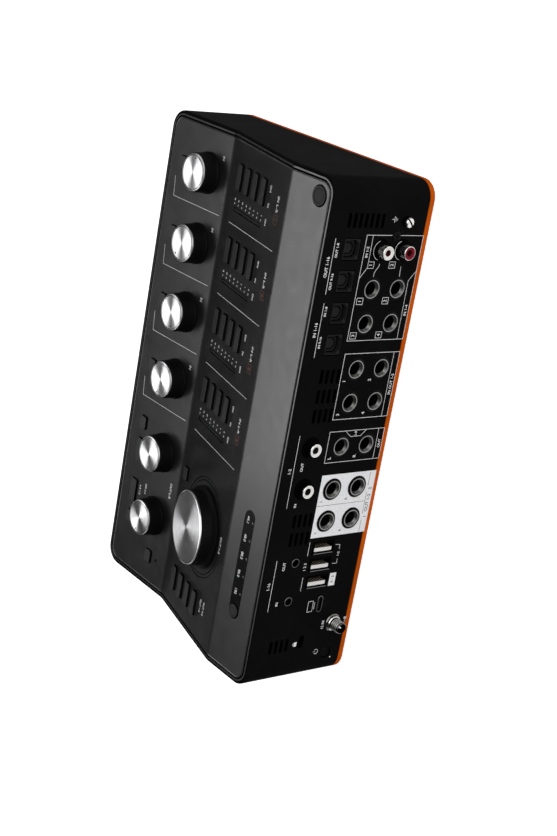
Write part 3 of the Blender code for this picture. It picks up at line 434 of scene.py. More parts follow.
def knob_places():
    """Return every knob's name, place, radii and height."""
    small = (KNOB_RADIUS, KNOB_CAP_RADIUS, KNOB_HEIGHT)
    knobs = []
    for i in range(CHANNELS):
        knobs.append((f"gain_knob_{i + 1}", deck_place(channel_x(i), GAIN_KNOB_BACK), *small))
    for i, x in enumerate(PHONES_XS):
        knobs.append((f"phones_knob_{i + 1}", deck_place(x, GAIN_KNOB_BACK), *small))
    knobs.append(("monitor_knob", MONITOR_PLACE, MONITOR_RADIUS, MONITOR_CAP_RADIUS, MONITOR_HEIGHT))
    return knobs


# Where things stand on the top, the front wall and the rear wall
MIC_PLACE = deck_place(HALF_WIDTH - TALKBACK_INSET, MIC_BACK)
MONITOR_PLACE = slope_place(MONITOR_X, SLOPE_LENGTH / 2 + MONITOR_SHIFT)
METER_XS = [channel_x(i) + METER_OFFSET for i in range(CHANNELS)]
METER_PLACES = [slope_place(x, SLOPE_LENGTH / 2 + ROW_SHIFT) for x in METER_XS]
WINDOW_PLACE = strip_place(WINDOW_X, SYNC_WINDOW_BACK)
INPUT_PLACES = [front_place(channel_x(i), FRONT_Z) for i in range(CHANNELS)]
PHONES_JACK_PLACES = [front_place(x - PHONES_JACK_SIDE, FRONT_Z) for x in PHONES_XS]
PHONES_MINI_PLACES = [front_place(x + PHONES_JACK_SIDE, FRONT_Z) for x in PHONES_XS]
JACK_PLACES = [rear_place(x, z) for x in JACK_XS for z in JACK_ZS]
OPTICAL_PLACES = rear_row(spread(-75.245, 15.67, 4), 47.25)
COAX_PLACES = rear_row((1.03, 22.73), 49.1)
PHONO_PLACES = [rear_place(PHONO_X, z) for z in PHONO_ZS]
MINI_PLACES = rear_row((63.2, 84.5), 45.05)
HUB_PLACES = rear_row(spread(66.0, 9.5, 3), 28.5)
DATA_PLACE = rear_place(88.9, 23.5)
DC_PLACE = rear_place(100.98, 12.3)
POWER_PLACE = rear_place(118.54, 12.7)
LOCK_PLACE = rear_place(109.56, 31.1)
GROUND_PLACE = rear_place(GROUND_X, GROUND_Z)
SCREW_PLACE = rear_place(-105.4, 20.8)
SIDE_VENT_PLACES = [rear_place(GROUND_X, z) for z in spread(SIDE_VENT_Z, VENT_PITCH, SIDE_VENT_ROWS)]
VENT_PLACES = [rear_place(x, z) for x in VENT_XS for z in spread(VENT_Z, VENT_PITCH, VENT_ROWS)]

# Outlines


def circle_outline(radius, sides):
    """Return a circle's points, anticlockwise."""
    angles = [math.tau * i / sides for i in range(sides)]
    return [(radius * math.cos(a), radius * math.sin(a)) for a in angles]


def rounded_outline(width, height, radius, steps=6):
    """Return a rounded rectangle's points, anticlockwise, without doubled points."""
    points = []
    for quarter, (sign_x, sign_y) in enumerate(((1, 1), (-1, 1), (-1, -1), (1, -1))):
        centre = Vector((sign_x * (width / 2 - radius), sign_y * (height / 2 - radius)))
        for step in range(steps + 1):
            angle = math.pi / 2 * (quarter + step / steps)
            point = centre + Vector((math.cos(angle), math.sin(angle))) * radius
            if not points or (point - points[-1]).length > MM and (point - points[0]).length > MM:
                points.append(point)
    return [(point.x, point.y) for point in points]


def optical_outline(shrink, chamfer=OPTICAL_CHAMFER):
    """Return the square optical mouth with its two lower corners cut off, anticlockwise."""
    half_w = OPTICAL_WIDTH / 2 - shrink
    half_h = OPTICAL_HEIGHT / 2 - shrink
    low = -half_h + chamfer
    side = half_w - chamfer
    upper = [(half_w, low), (half_w, half_h), (-half_w, half_h), (-half_w, low)]
    return upper + [(-side, -half_h), (side, -half_h)]


def top_stations():
    """Return (y, z) points of the top's side profile, front to rear, with both bends rounded."""
    half_turn = BEND_RADIUS * math.tan(SLOPE_ANGLE / 2)
    points = []
    for bend_y, bend_z, start, end in (
        (BEND_FRONT_Y, DECK_Z, 0.0, SLOPE_ANGLE),
        (BEND_REAR_Y, STRIP_Z, SLOPE_ANGLE, 0.0),
    ):
        side = 1 if end > start else -1
        first_y = bend_y - half_turn * math.cos(start)
        first_z = bend_z - half_turn * math.sin(start)
        centre_y = first_y - side * BEND_RADIUS * math.sin(start)
        centre_z = first_z + side * BEND_RADIUS * math.cos(start)
        for step in range(BEND_STEPS + 1):
            angle = start + (end - start) * step / BEND_STEPS
            y = centre_y + side * BEND_RADIUS * math.sin(angle)
            z = centre_z - side * BEND_RADIUS * math.cos(angle)
            points.append((y, z))
    return points


STATIONS = top_stations()


def top_height(y):
    """Return the top's height at a depth, by the rounded side profile."""
    if y <= STATIONS[0][0]:
        return DECK_Z
    for (y0, z0), (y1, z1) in zip(STATIONS, STATIONS[1:]):
        if y <= y1:
            return z0 + (z1 - z0) * (y - y0) / (y1 - y0)
    return STRIP_Z


def body_outline(inset):
    """Return the body's plan outline at an inset, anticlockwise, with a point at every bend station."""
    half_w = HALF_WIDTH - inset
    half_d = HALF_DEPTH - inset
    radius = max(CORNER_RADIUS - inset, EDGE_ROUND)
    right = [(half_w, y) for y, _ in STATIONS]
    left = [(-half_w, y) for y, _ in reversed(STATIONS)]
    arcs = [(x, y + MIDDLE_Y) for x, y in rounded_outline(2 * half_w, 2 * half_d, radius, CORNER_STEPS)]
    half = len(arcs) // 2
    return right + arcs[:half] + left + arcs[half:]


def lift(outline, z):
    """Return an outline's points at a height."""
    return [(x, y, z) for x, y in outline]


def flat_ring(inset, z):
    """Return the body's outline at one height."""
    return lift(body_outline(inset), z)


def top_ring(inset, drop):
    """Return the body's outline at a drop below its stepped top."""
    return [(x, y, top_height(y) - drop) for x, y in body_outline(inset)]


# Meshes


def add_points(bm, ring, place=Matrix()):
    """Add a ring of points in a place and return its vertices."""
    return [bm.verts.new(place @ Vector(point)) for point in ring]


def add_bands(bm, loops, marks=None):
    """Join each loop of vertices to the next with quads, with a material mark for each band."""
    for band, (low, high) in enumerate(zip(loops, loops[1:])):
        for i in range(len(low)):
            j = (i + 1) % len(low)
            face = bm.faces.new((low[i], low[j], high[j], high[i]))
            face.material_index = marks[band] if marks else 0


def add_loft(bm, rings, place=Matrix(), marks=None):
    """Add a closed solid through rings of points, with flat ends."""
    loops = [add_points(bm, ring, place) for ring in rings]
    add_bands(bm, loops, marks)
    first = bm.faces.new(reversed(loops[0]))
    last = bm.faces.new(loops[-1])
    if marks:
        first.material_index = marks[0]
        last.material_index = marks[-1]


def add_hoop(bm, rings, place=Matrix(), marks=None):
    """Add a closed hoop through rings of points, whose last ring joins the first."""
    loops = [add_points(bm, ring, place) for ring in rings]
    add_bands(bm, loops + loops[:1], marks)


def add_steps(bm, steps, place=Matrix(), marks=None):
    """Add a closed solid through (outline, height) steps."""
    add_loft(bm, [lift(outline, z) for outline, z in steps], place, marks)


def add_prism(bm, outline, low, high, place=Matrix()):
    """Add an outline extruded along local Z."""
    add_steps(bm, [(outline, low), (outline, high)], place)


def add_box(bm, size_x, size_y, low, high, place=Matrix()):
    """Add a box centred on local Z."""
    corners = ((1, 1), (-1, 1), (-1, -1), (1, -1))
    add_prism(bm, [(size_x / 2 * i, size_y / 2 * j) for i, j in corners], low, high, place)


def turned_rings(profile, sides):
    """Return circles about local Z through (radius, height) points."""
    return [lift(circle_outline(radius, sides), z) for radius, z in profile]


def add_turned(bm, profile, sides, place=Matrix(), marks=None):
    """Add a solid turned about local Z from (radius, height) points that run up its outside."""
    add_loft(bm, turned_rings(profile, sides), place, marks)


def add_washer(bm, inner, outer, low, high, sides, place=Matrix()):
    """Add a flat ring about local Z."""
    profile = [(outer, low), (outer, high), (inner, high), (inner, low)]
    add_hoop(bm, turned_rings(profile, sides), place)


def soft_corner(radius, top, soft):
    """Return turned points over a soft outer corner."""
    share = SOFT_MIDDLE_SHARE * soft
    return [(radius, top - soft), (radius - share, top - share), (radius - soft, top)]


def socket_side(radius, tail, proud, soft):
    """Return turned points from a socket's tail to the chamfer of its outer edge."""
    return [(radius, tail), (radius, proud - soft), (radius - soft, proud)]


def fresh(add, *values, **named):
    """Start a mesh with one form in it."""
    bm = bmesh.new()
    add(bm, *values, **named)
    return bm


def add_stepped(bm, loops, marks):
    """Add the top's three facets and bends as a closed slab through stepped outlines."""
    count = len(STATIONS)
    rows = [add_points(bm, loop) for loop in loops]
    add_bands(bm, rows, marks)
    for ring, upward in ((rows[0], False), (rows[-1], True)):
        half = len(ring) // 2
        right = ring[:count]
        left = ring[half:half + count][::-1]
        faces = [ring[count - 1:half + 1], ring[half + count - 1:] + ring[:1]]
        for i in range(count - 1):
            faces.append([right[i], right[i + 1], left[i + 1], left[i]])
        for face in faces:
            bm.faces.new(face if upward else reversed(face))


# Print


def add_line(bm, points, width, place, closed=False):
    """Add a printed line with mitred corners, as a thin raised ribbon in a place."""
    corners = [Vector(point) for point in points]
    count = len(corners)
    sides = ([], [])
    for i, corner in enumerate(corners):
        before = corners[i - 1] if closed or i else None
        after = corners[(i + 1) % count] if closed or i < count - 1 else None
        way_in = (corner - before).normalized() if before is not None else (after - corner).normalized()
        way_out = (after - corner).normalized() if after is not None else way_in
        mean = (way_in + way_out).normalized()
        normal = Vector((-mean.y, mean.x))
        reach = width / 2 / max(mean.dot(way_in), MITRE_LIMIT)
        sides[0].append(corner + normal * reach)
        sides[1].append(corner - normal * reach)
    if not closed:
        outline = [(p.x, p.y) for p in sides[1] + sides[0][::-1]]
        add_prism(bm, outline, 0, PRINT_RISE, place)
        return
    edges = ((1, 0), (1, PRINT_RISE), (0, PRINT_RISE), (0, 0))
    add_hoop(bm, [[(p.x, p.y, z) for p in sides[side]] for side, z in edges], place)


def add_arc(bm, radius, start, end, width, place):
    """Add a printed arc between two angles in degrees."""
    angles = [math.radians(start + (end - start) * i / ARC_STEPS) for i in range(ARC_STEPS + 1)]
    add_line(bm, [(radius * math.cos(a), radius * math.sin(a)) for a in angles], width, place)


def add_text(bm, text, size, place):
    """Add a printed numeral or a plain word, centred in a place."""
    curve = bpy.data.curves.new("glyphs", "FONT")
    curve.body = text
    curve.size = size
    curve.align_x = "CENTER"
    curve.align_y = "CENTER"
    curve.extrude = PRINT_RISE / 2
    curve.offset = TEXT_WEIGHT
    curve.resolution_u = GLYPH_STEPS
    holder = bpy.data.objects.new("glyphs", curve)
    bpy.context.collection.objects.link(holder)
    mesh = bpy.data.meshes.new_from_object(holder.evaluated_get(bpy.context.evaluated_depsgraph_get()))
    mesh.transform(place @ shift(0, 0, PRINT_RISE / 2))
    bm.from_mesh(mesh)
    bpy.data.objects.remove(holder)
    bpy.data.curves.remove(curve)
    bpy.data.meshes.remove(mesh)


# Pieces


def finish_shading(mesh):
    """Shade a mesh smooth, with its corners kept sharp."""
    mesh.shade_smooth()
    mesh.set_sharp_from_angle(angle=SHARP)


def new_object(name, bm, place=Matrix()):
    """Turn a mesh in millimetres into an object in metres, standing in its place."""
    bmesh.ops.scale(bm, vec=(MM, MM, MM), verts=bm.verts)
    mesh = bpy.data.meshes.new(name)
    bm.to_mesh(mesh)
    bm.free()
    finish_shading(mesh)
    thing = bpy.data.objects.new(name, mesh)
    bpy.context.collection.objects.link(thing)
    turn = place.to_quaternion().to_matrix().to_4x4()
    thing.matrix_world = Matrix.Translation(place.to_translation() * MM) @ turn
    return thing


DRESSED = []


def piece(name, bm, materials, body="body", place=Matrix(), stands_for=()):
    """Make a named piece that rides on a body and may stand for solids."""
    thing = new_object(name, bm, place)
    for material in materials:
        thing.data.materials.append(material)
    DRESSED.append(thing)
    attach(thing, body)
    if stands_for:
        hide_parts(*stands_for)
    return thing


def carve(thing, tool_mesh, mark=0):
    """Cut a tool's solids out of a piece and keep the result; the cut faces take a material mark."""
    for face in tool_mesh.faces:
        face.material_index = mark
    tool = new_object("tool", tool_mesh)
    for material in thing.data.materials:
        tool.data.materials.append(material)
    boolean = thing.modifiers.new("carve", "BOOLEAN")
    boolean.operation = "DIFFERENCE"
    boolean.solver = "EXACT"
    boolean.object = tool
    result = bpy.data.meshes.new_from_object(thing.evaluated_get(bpy.context.evaluated_depsgraph_get()))
    thing.modifiers.clear()
    old = thing.data
    thing.data = result
    finish_shading(result)
    bpy.data.meshes.remove(old)
    bpy.data.objects.remove(tool)


def settle_normals(thing):
    """Let large flat faces keep their own direction beside rounded ones."""
    modifier = thing.modifiers.new("weighted", "WEIGHTED_NORMAL")
    modifier.keep_sharp = True


# Materials

NOISE_SPAN = (0.3, 0.7)


def shader_of(material):
    """Return a material's main shader."""
    return material.node_tree.nodes["Principled BSDF"]


def new_material(name, colour, roughness, metallic=0.0, specular=0.5):
    """Start a material whose plain values sit on its shader."""
    material = bpy.data.materials.new(name)
    material.use_nodes = True
    values = {
        "Base Color": (*colour, 1.0), "Roughness": roughness,
        "Metallic": metallic, "Specular IOR Level": specular,
    }
    for socket, value in values.items():
        shader_of(material).inputs[socket].default_value = value
    return material


def add_node(holder, kind, **values):
    """Add a node to a material or a sky and set its inputs by name."""
    node = holder.node_tree.nodes.new(kind)
    for name, value in values.items():
        node.inputs[name.replace("_", " ")].default_value = value
    return node


def join(holder, output, node, socket):
    """Link an output to an input of another node."""
    holder.node_tree.links.new(output, node.inputs[socket])


def add_noise(material, scale, detail):
    """Add noise in the object's own space, with its scale in waves per metre."""
    where = add_node(material, "ShaderNodeTexCoord")
    noise = add_node(material, "ShaderNodeTexNoise", Scale=scale, Detail=detail)
    join(material, where.outputs["Object"], noise, "Vector")
    return noise.outputs["Fac"]


def vary_colour(material, colour, by, scale):
    """Drift the colour between a darker and a lighter shade."""
    ramp = add_node(material, "ShaderNodeValToRGB")
    for element, position, share in zip(ramp.color_ramp.elements, NOISE_SPAN, (1 - by, 1 + by)):
        element.position = position
        element.color = (*[c * share for c in colour], 1.0)
    join(material, add_noise(material, scale, detail=3.0), ramp, "Fac")
    join(material, ramp.outputs["Color"], shader_of(material), "Base Color")


def vary_roughness(material, middle, by, scale):
    """Drift the roughness, as handling and coating do."""
    span = add_node(material, "ShaderNodeMapRange", To_Min=middle - by, To_Max=middle + by)
    join(material, add_noise(material, scale, detail=4.0), span, "Value")
    join(material, span.outputs["Result"], shader_of(material), "Roughness")


def add_grain(material, scale, strength, depth):
    """Roughen the surface with a fine bump, its depth in millimetres."""
    bump = add_node(material, "ShaderNodeBump", Strength=strength, Distance=depth * MM)
    join(material, add_noise(material, scale, detail=2.0), bump, "Height")
    join(material, bump.outputs["Normal"], shader_of(material), "Normal")


def coated(name, colour, roughness, specular, grain=2600, depth=0.02, drift=0.12):
    """Make a powder-coated or moulded surface with a fine grain."""
    material = new_material(name, colour, roughness, specular=specular)
    vary_colour(material, colour, drift, scale=60)
    vary_roughness(material, roughness, by=0.06, scale=140)
    add_grain(material, grain, strength=0.5, depth=depth)
    return material


def metal(name, colour, roughness, grain=900, depth=0.01):
    """Make a plated or machined metal with faint handling marks."""
    material = new_material(name, colour, roughness, metallic=1.0)
    vary_colour(material, colour, by=0.07, scale=220)
    vary_roughness(material, roughness, by=0.07, scale=400)
    add_grain(material, grain, strength=0.3, depth=depth)
    return material


def spun_metal(name, colour, roughness, rings):
    """Make a turned disc: fine rings about local Z, and a highlight drawn across them."""
    material = metal(name, colour, roughness)
    shader = shader_of(material)
    shader.inputs["Anisotropic"].default_value = 0.9
    shader.inputs["Anisotropic Rotation"].default_value = 0.25
    tangent = add_node(material, "ShaderNodeTangent")
    tangent.direction_type = "RADIAL"
    tangent.axis = "Z"
    join(material, tangent.outputs["Tangent"], shader, "Tangent")
    where = add_node(material, "ShaderNodeTexCoord")
    wave = add_node(material, "ShaderNodeTexWave", Scale=rings, Distortion=0.6, Detail=2.0)
    wave.wave_type = "RINGS"
    wave.rings_direction = "Z"
    join(material, where.outputs["Object"], wave, "Vector")
    bump = add_node(material, "ShaderNodeBump", Strength=0.12, Distance=0.01 * MM)
    join(material, wave.outputs["Fac"], bump, "Height")
    join(material, bump.outputs["Normal"], shader, "Normal")
    return material


def board_material():
    """Make a green circuit board with lighter tracks and pads."""
    material = new_material("circuit_board", (0.012, 0.07, 0.03), 0.42)
    where = add_node(material, "ShaderNodeTexCoord")
    brick = add_node(
        material, "ShaderNodeTexBrick", Scale=160.0, Mortar_Size=0.06, Color1=(0.010, 0.06, 0.025, 1.0),
        Color2=(0.014, 0.08, 0.034, 1.0), Mortar=(0.03, 0.14, 0.06, 1.0),
    )
    join(material, where.outputs["Object"], brick, "Vector")
    join(material, brick.outputs["Color"], shader_of(material), "Base Color")
    add_grain(material, 700, strength=0.4, depth=0.02)
    return material


def printed(name, colour):
    """Make screen-printed ink with a slightly uneven edge of tone."""
    material = new_material(name, colour, 0.55, specular=0.3)
    vary_colour(material, colour, by=0.06, scale=900)
    add_grain(material, 3500, strength=0.3, depth=0.01)
    return material


BODY_PAINT = coated("body_paint", (0.0044, 0.0044, 0.0047), 0.85, 0.01)
PANEL_PAINT = coated("panel_paint", (0.0105, 0.0105, 0.0112), 0.3, 0.5, grain=3200, depth=0.006)
BASE_PAINT = coated("base_paint", (0.52, 0.088, 0.0025), 0.75, 0.04)
RUBBER = coated("rubber", (0.018, 0.018, 0.018), 0.8, 0.3, grain=1500, depth=0.05)
KNOB_PLASTIC = coated("knob_plastic", (0.003, 0.003, 0.0033), 0.55, 0.08, grain=3000, depth=0.01)
BUTTON_PLASTIC = coated("button_plastic", (0.015, 0.015, 0.0157), 0.45, 0.35, grain=3600, depth=0.01)
# Dark plastic for the power button, and painted shade on the other buttons' side walls and face grooves.
DARK_BUTTON_AND_SIDE_SHADE = coated("dark_button_and_side_shade", (0.0022, 0.0022, 0.0025), 0.75, 0.04, grain=3600, depth=0.01)
ROUND_PLASTIC = coated("round_plastic", (0.032, 0.032, 0.0325), 0.55, 0.08, grain=3600, depth=0.01)
SOCKET_SATIN = coated("socket_satin", (0.009, 0.009, 0.0095), 0.6, 0.1, grain=2400, depth=0.01)
SOCKET_BLACK = coated("socket_black", (0.003, 0.003, 0.0033), 0.6, 0.06, grain=2400, depth=0.01)
# Black for real bores, socket insides and bases, and painted shade on groove floors and walls, slots, thread
# roots and the cut faces of openings.
BORE_BLACK_AND_SHADE = coated("bore_black_and_painted_shade", (0.0008, 0.0008, 0.0009), 0.8, 0.02, grain=2000, depth=0.01)
RED_PLASTIC = coated("red_plastic", (0.16, 0.0025, 0.011), 0.45, 0.12, grain=2200, depth=0.01)
MAROON = coated("maroon_plastic", (0.05, 0.002, 0.004), 0.5, 0.2, grain=2200, depth=0.01)
WHITE_PLASTIC = coated("white_plastic", (0.74, 0.73, 0.71), 0.4, 0.4, grain=2200, depth=0.01, drift=0.05)
LENS_BLACK = coated("lens_black", (0.003, 0.003, 0.0035), 0.25, 0.06, grain=600, depth=0.002)
LENS_SATIN = coated("lens_satin", (0.012, 0.012, 0.0125), 0.32, 0.4, grain=600, depth=0.002)
CAP_METAL = spun_metal("spun_cap", (0.78, 0.78, 0.79), 0.33, 900.0)
BEVEL_METAL = metal("cap_bevel", (0.55, 0.55, 0.56), 0.36, depth=0.002)
RING_METAL = metal("socket_ring", (0.13, 0.128, 0.126), 0.36)
RING_EDGE = metal("socket_edge", (0.27, 0.267, 0.264), 0.4)
NICKEL = metal("nickel", (0.70, 0.69, 0.67), 0.24)
DARK_NICKEL = metal("dark_nickel", (0.20, 0.193, 0.185), 0.22)
GUNMETAL = metal("gunmetal", (0.11, 0.107, 0.104), 0.28)
CONTACT_BRASS = coated("contact_brass", (0.26, 0.22, 0.16), 0.6, 0.3, grain=1200, depth=0.01)
CARD = board_material()
PRINT_WHITE = printed("print_white", (0.80, 0.80, 0.80))
PRINT_COPPER = printed("print_copper", (0.17, 0.075, 0.05))
PRINT_BLACK = printed("print_black", (0.008, 0.008, 0.009))
FIELD_WHITE = printed("field_white", (0.82, 0.82, 0.835))

# Body


def rim_arc():
    """Return (inset, drop) steps round the shell's top edge."""
    steps = [math.pi / 2 * i / ROUND_STEPS for i in range(ROUND_STEPS + 1)]
    return [(RIM_ROUND * (1 - math.cos(a)), RIM_ROUND * (1 - math.sin(a))) for a in steps]


def build_shell():
    """Make the wrap-round shell with its soft rim and the ledge under the panel."""
    seat = PANEL_THICKNESS + FIT
    foot = SHELL_LOW.z
    far = RIM_ROUND + RIM_GROOVE
    ledge = WALL + LEDGE_WIDTH
    steps = rim_arc() + [
        (RIM_ROUND, GROOVE_DEPTH), (far, GROOVE_DEPTH), (far, RIM_LIP / 2), (far + RIM_LIP / 2, 0),
        (far + RIM_LIP, 0), (WALL - RIM_LIP, 0), (WALL - RIM_LIP / 2, 0), (WALL, RIM_LIP / 2), (WALL, seat),
        (ledge, seat), (ledge, seat + LEDGE_THICKNESS), (WALL, seat + LEDGE_THICKNESS),
    ]
    rings = [flat_ring(RIM_LIP, foot), flat_ring(0, foot + RIM_LIP)]
    rings += [top_ring(*step) for step in steps]
    rings.append(flat_ring(WALL, foot))
    # The rim's groove takes the black as painted shade; the inner faces below it take it too.
    marks = [0] * (ROUND_STEPS + 2) + [2] * 3 + [1] * 5
    marks += [2] * (len(rings) - len(marks))
    hoop = fresh(add_hoop, rings, marks=marks)
    paints = [BODY_PAINT, PANEL_PAINT, BORE_BLACK_AND_SHADE]
    shell = piece("enclosure_shell", hoop, paints, stands_for=["enclosure"])
    # The openings' cut faces take the black as painted shade.
    carve(shell, wall_cuts(), 2)


def wall_cuts():
    """Return every opening in the front and rear walls as solids to cut away."""
    cuts = bmesh.new()
    through = (-WALL - CUT_PAST / 2, CUT_PAST)
    for radius, places in (
        (JACK_RING_RADIUS, JACK_PLACES + PHONES_JACK_PLACES),
        (MINI_RING_RADIUS, MINI_PLACES + PHONES_MINI_PLACES),
        (RCA_FLANGE_RADIUS, COAX_PLACES + PHONO_PLACES),
        (DC_RADIUS, [DC_PLACE]),
        (POWER_RADIUS, [POWER_PLACE]),
        (COMBO_RADIUS, INPUT_PLACES),
    ):
        for place in places:
            add_prism(cuts, circle_outline(radius + FIT, RING_SIDES), *through, place)
    for width, height, corner, places in (
        (OPTICAL_WIDTH + 2 * FIT, OPTICAL_HEIGHT + 2 * FIT, 2 * FIT, OPTICAL_PLACES),
        (USB_WIDTH + 2 * FIT, USB_LENGTH + 2 * FIT, 2 * FIT, HUB_PLACES),
        (DATA_LENGTH + 2 * FIT, DATA_WIDTH + 2 * FIT, DATA_WIDTH / 2 + FIT, [DATA_PLACE]),
        (LOCK_LENGTH, LOCK_WIDTH, LOCK_WIDTH / 3, [LOCK_PLACE]),
        (VENT_LENGTH, VENT_WIDTH, VENT_WIDTH / 2 - FIT / 2, SIDE_VENT_PLACES + VENT_PLACES),
    ):
        for place in places:
            add_prism(cuts, rounded_outline(width, height, corner), *through, place)
    return cuts


def build_plate():
    """Make the inlaid top with its stepped edge, button holes, meter slots, lamp ring and window."""
    edge = PANEL_INSET + STEP_WIDTH
    ridge = edge + RIDGE_WIDTH
    steps = [
        (PANEL_INSET, PANEL_THICKNESS), (PANEL_INSET, STEP_DEPTH), (edge, STEP_DEPTH), (edge, RIM_LIP / 2),
        (edge + RIM_LIP / 2, 0), (edge + RIM_LIP, 0), (ridge, RIDGE_FALL), (ridge + RIM_LIP / 2, 0),
    ]
    # The panel's outer side, the step's floor and its inner wall take the black as painted shade.
    slab = fresh(add_stepped, [top_ring(*step) for step in steps], [1, 1, 1, 0, 0, 0, 0])
    plate = piece("top_plate", slab, [PANEL_PAINT, BORE_BLACK_AND_SHADE], stands_for=["top_panel"])

    cuts = bmesh.new()
    through = (-PANEL_THICKNESS - CUT_PAST, CUT_PAST)
    for _, place, length in bar_buttons():
        hole = rounded_outline(length + 2 * FIT, BUTTON_DEPTH + 2 * FIT, BUTTON_CORNER + FIT)
        add_prism(cuts, hole, *through, place)
    for _, place, radius in round_buttons():
        add_prism(cuts, circle_outline(radius + 1.5 * FIT, RING_SIDES), *through, place)
    for _, place, *_ in knob_places():
        add_prism(cuts, circle_outline(COLLAR_RADIUS + FIT, RING_SIDES), *through, place)
    add_prism(cuts, circle_outline(MIC_RADIUS, RING_SIDES // 2), *through, MIC_PLACE)
    # The holes' cut faces take the black as painted shade.
    carve(plate, cuts, 1)

    recesses = bmesh.new()
    meter = rounded_outline(METER_WIDTH, METER_LENGTH, METER_WIDTH / 3)
    for place in METER_PLACES:
        add_prism(recesses, meter, -RECESS_DEPTH, CUT_PAST, place)
    window = rounded_outline(SYNC_WINDOW_LENGTH, SYNC_WINDOW_WIDTH, SYNC_WINDOW_WIDTH / 2, WINDOW_STEPS)
    add_prism(recesses, window, -RECESS_DEPTH, CUT_PAST, WINDOW_PLACE)
    add_washer(recesses, RING_INNER, RING_OUTER, -RECESS_DEPTH, CUT_PAST, KNOB_SIDES, MONITOR_PLACE)
    # The recesses' walls and floors take the black as painted shade.
    carve(plate, recesses, 1)


def build_inlays():
    """Make the dark lenses in the meter slots, the lamp ring and the window."""
    gap = FIT / 3
    low = -RECESS_DEPTH + gap
    bm = bmesh.new()
    size = (METER_WIDTH - 2 * METER_LINE, METER_LENGTH - 2 * METER_LINE)
    meter = rounded_outline(*size, METER_WIDTH / 3 - METER_LINE)
    for place in METER_PLACES:
        add_prism(bm, meter, low, -gap, place)
    piece("meter_lenses", bm, [LENS_SATIN])

    radii = (RING_INNER + METER_LINE, RING_OUTER - METER_LINE)
    ring = fresh(add_washer, *radii, low, -gap / 2, KNOB_SIDES, MONITOR_PLACE)
    piece("lamp_ring_lens", ring, [LENS_SATIN])

    size = (SYNC_WINDOW_LENGTH - 2 * gap, SYNC_WINDOW_WIDTH - 2 * gap)
    outline = rounded_outline(*size, SYNC_WINDOW_WIDTH / 2 - gap, WINDOW_STEPS)
    window = fresh(add_prism, outline, low, -gap, WINDOW_PLACE)
    lens = piece("sync_window", window, [LENS_BLACK])
    _, place, radius = round_buttons()[1]
    carve(lens, fresh(add_prism, circle_outline(radius + FIT, RING_SIDES), -CUT_PAST, CUT_PAST, place))


def build_base():
    """Make the coloured base with soft edges, and turned rubber feet in its pockets."""
    soft = EDGE_ROUND / 2
    middle = soft * SOFT_MIDDLE_SHARE
    lip = WALL + FIT
    steps = [
        (soft, UNDERSIDE_Z), (middle, UNDERSIDE_Z + middle), (0, UNDERSIDE_Z + soft),
        (0, BASE_TOP - RIM_LIP / 2), (RIM_LIP / 2, BASE_TOP), (lip, BASE_TOP),
        (lip, BASE_HIGH.z), (lip + soft, BASE_HIGH.z), (lip + soft, BASE_TOP),
    ]
    tray = fresh(add_loft, [flat_ring(*step) for step in steps])
    base = piece("base_tray", tray, [BASE_PAINT], stands_for=["base_plate"])
    pockets = bmesh.new()
    for row in ("front", "rear"):
        for side in ("left", "right"):
            node = f"foot_{row}_{side}"
            low, high = cad_box(node)
            centre = (low + high) / 2
            radius = (high.x - low.x) / 2
            place = Matrix.Translation((centre.x, centre.y, 0))
            add_prism(pockets, circle_outline(radius + FIT, RING_SIDES), 0, high.z + FIT, place)
            edge = [(r, RUN - z) for r, z in reversed(soft_corner(radius, RUN, RUN))]
            dish = [(radius * FOOT_DISH_TOP_SHARE, RUN), (radius * FOOT_DISH_SHARE, 0)]
            pad = fresh(add_turned, dish + edge + [(radius, high.z)], RING_SIDES)
            piece(f"{node}_pad", pad, [RUBBER], place=place, stands_for=[node])
    carve(base, pockets)


# Controls


def build_knobs():
    """Make each knob: a black skirt, a spun metal cap with a polished bevel, and a black dot."""
    for name, place, radius, cap, height in knob_places():
        neck = cap + CAP_SEAT
        top = height - CAP_THICKNESS
        skirt = fresh(add_turned, [
            (SHAFT_RADIUS + FIT, height - KNOB_ROOF), (SHAFT_RADIUS + FIT, RUN + FIT),
            (COLLAR_RADIUS + RUN, RUN), (radius - FIT, RUN), (radius, RUN + FIT),
            (radius, RUN + SKIRT_STEP - FIT), (radius - FIT, RUN + SKIRT_STEP),
            (neck + FIT, RUN + 2 * SKIRT_STEP), (neck, top - FIT), (neck - FIT, top),
        ], KNOB_SIDES)
        piece(f"{name}_skirt", skirt, [KNOB_PLASTIC], name, place, [name])
        outer = cap - CAP_BEVEL - CAP_GROOVE_SIDE
        inner = outer - CAP_GROOVE_WIDTH
        low = height - CAP_GROOVE_DEPTH
        # The groove's outer wall and floor on the cap take the darker metal as painted shade.
        disc = fresh(add_turned, [
            (cap - FIT, top), (cap, top + FIT), *soft_corner(cap, height, CAP_BEVEL),
            (outer, low), (inner, low), (inner - CAP_GROOVE_SIDE, height),
        ], KNOB_SIDES, marks=[1, 1, 1, 1, 2, 2, 0])
        piece(f"{name}_cap", disc, [CAP_METAL, BEVEL_METAL, DARK_NICKEL], name, place)
        if name in POINTER_TURNS:
            turn = math.radians(90 - POINTER_TURNS[name])
            spot = shift(DOT_REACH * math.cos(turn), DOT_REACH * math.sin(turn), height)
            dot = fresh(add_turned, [
                (DOT_RADIUS, -FIT), (DOT_RADIUS, DOT_RISE / 2), (DOT_RADIUS * DOT_TOP_SHARE, DOT_RISE),
            ], RING_SIDES // 2, spot)
            piece(f"{name}_dot", dot, [BORE_BLACK_AND_SHADE], name, place)


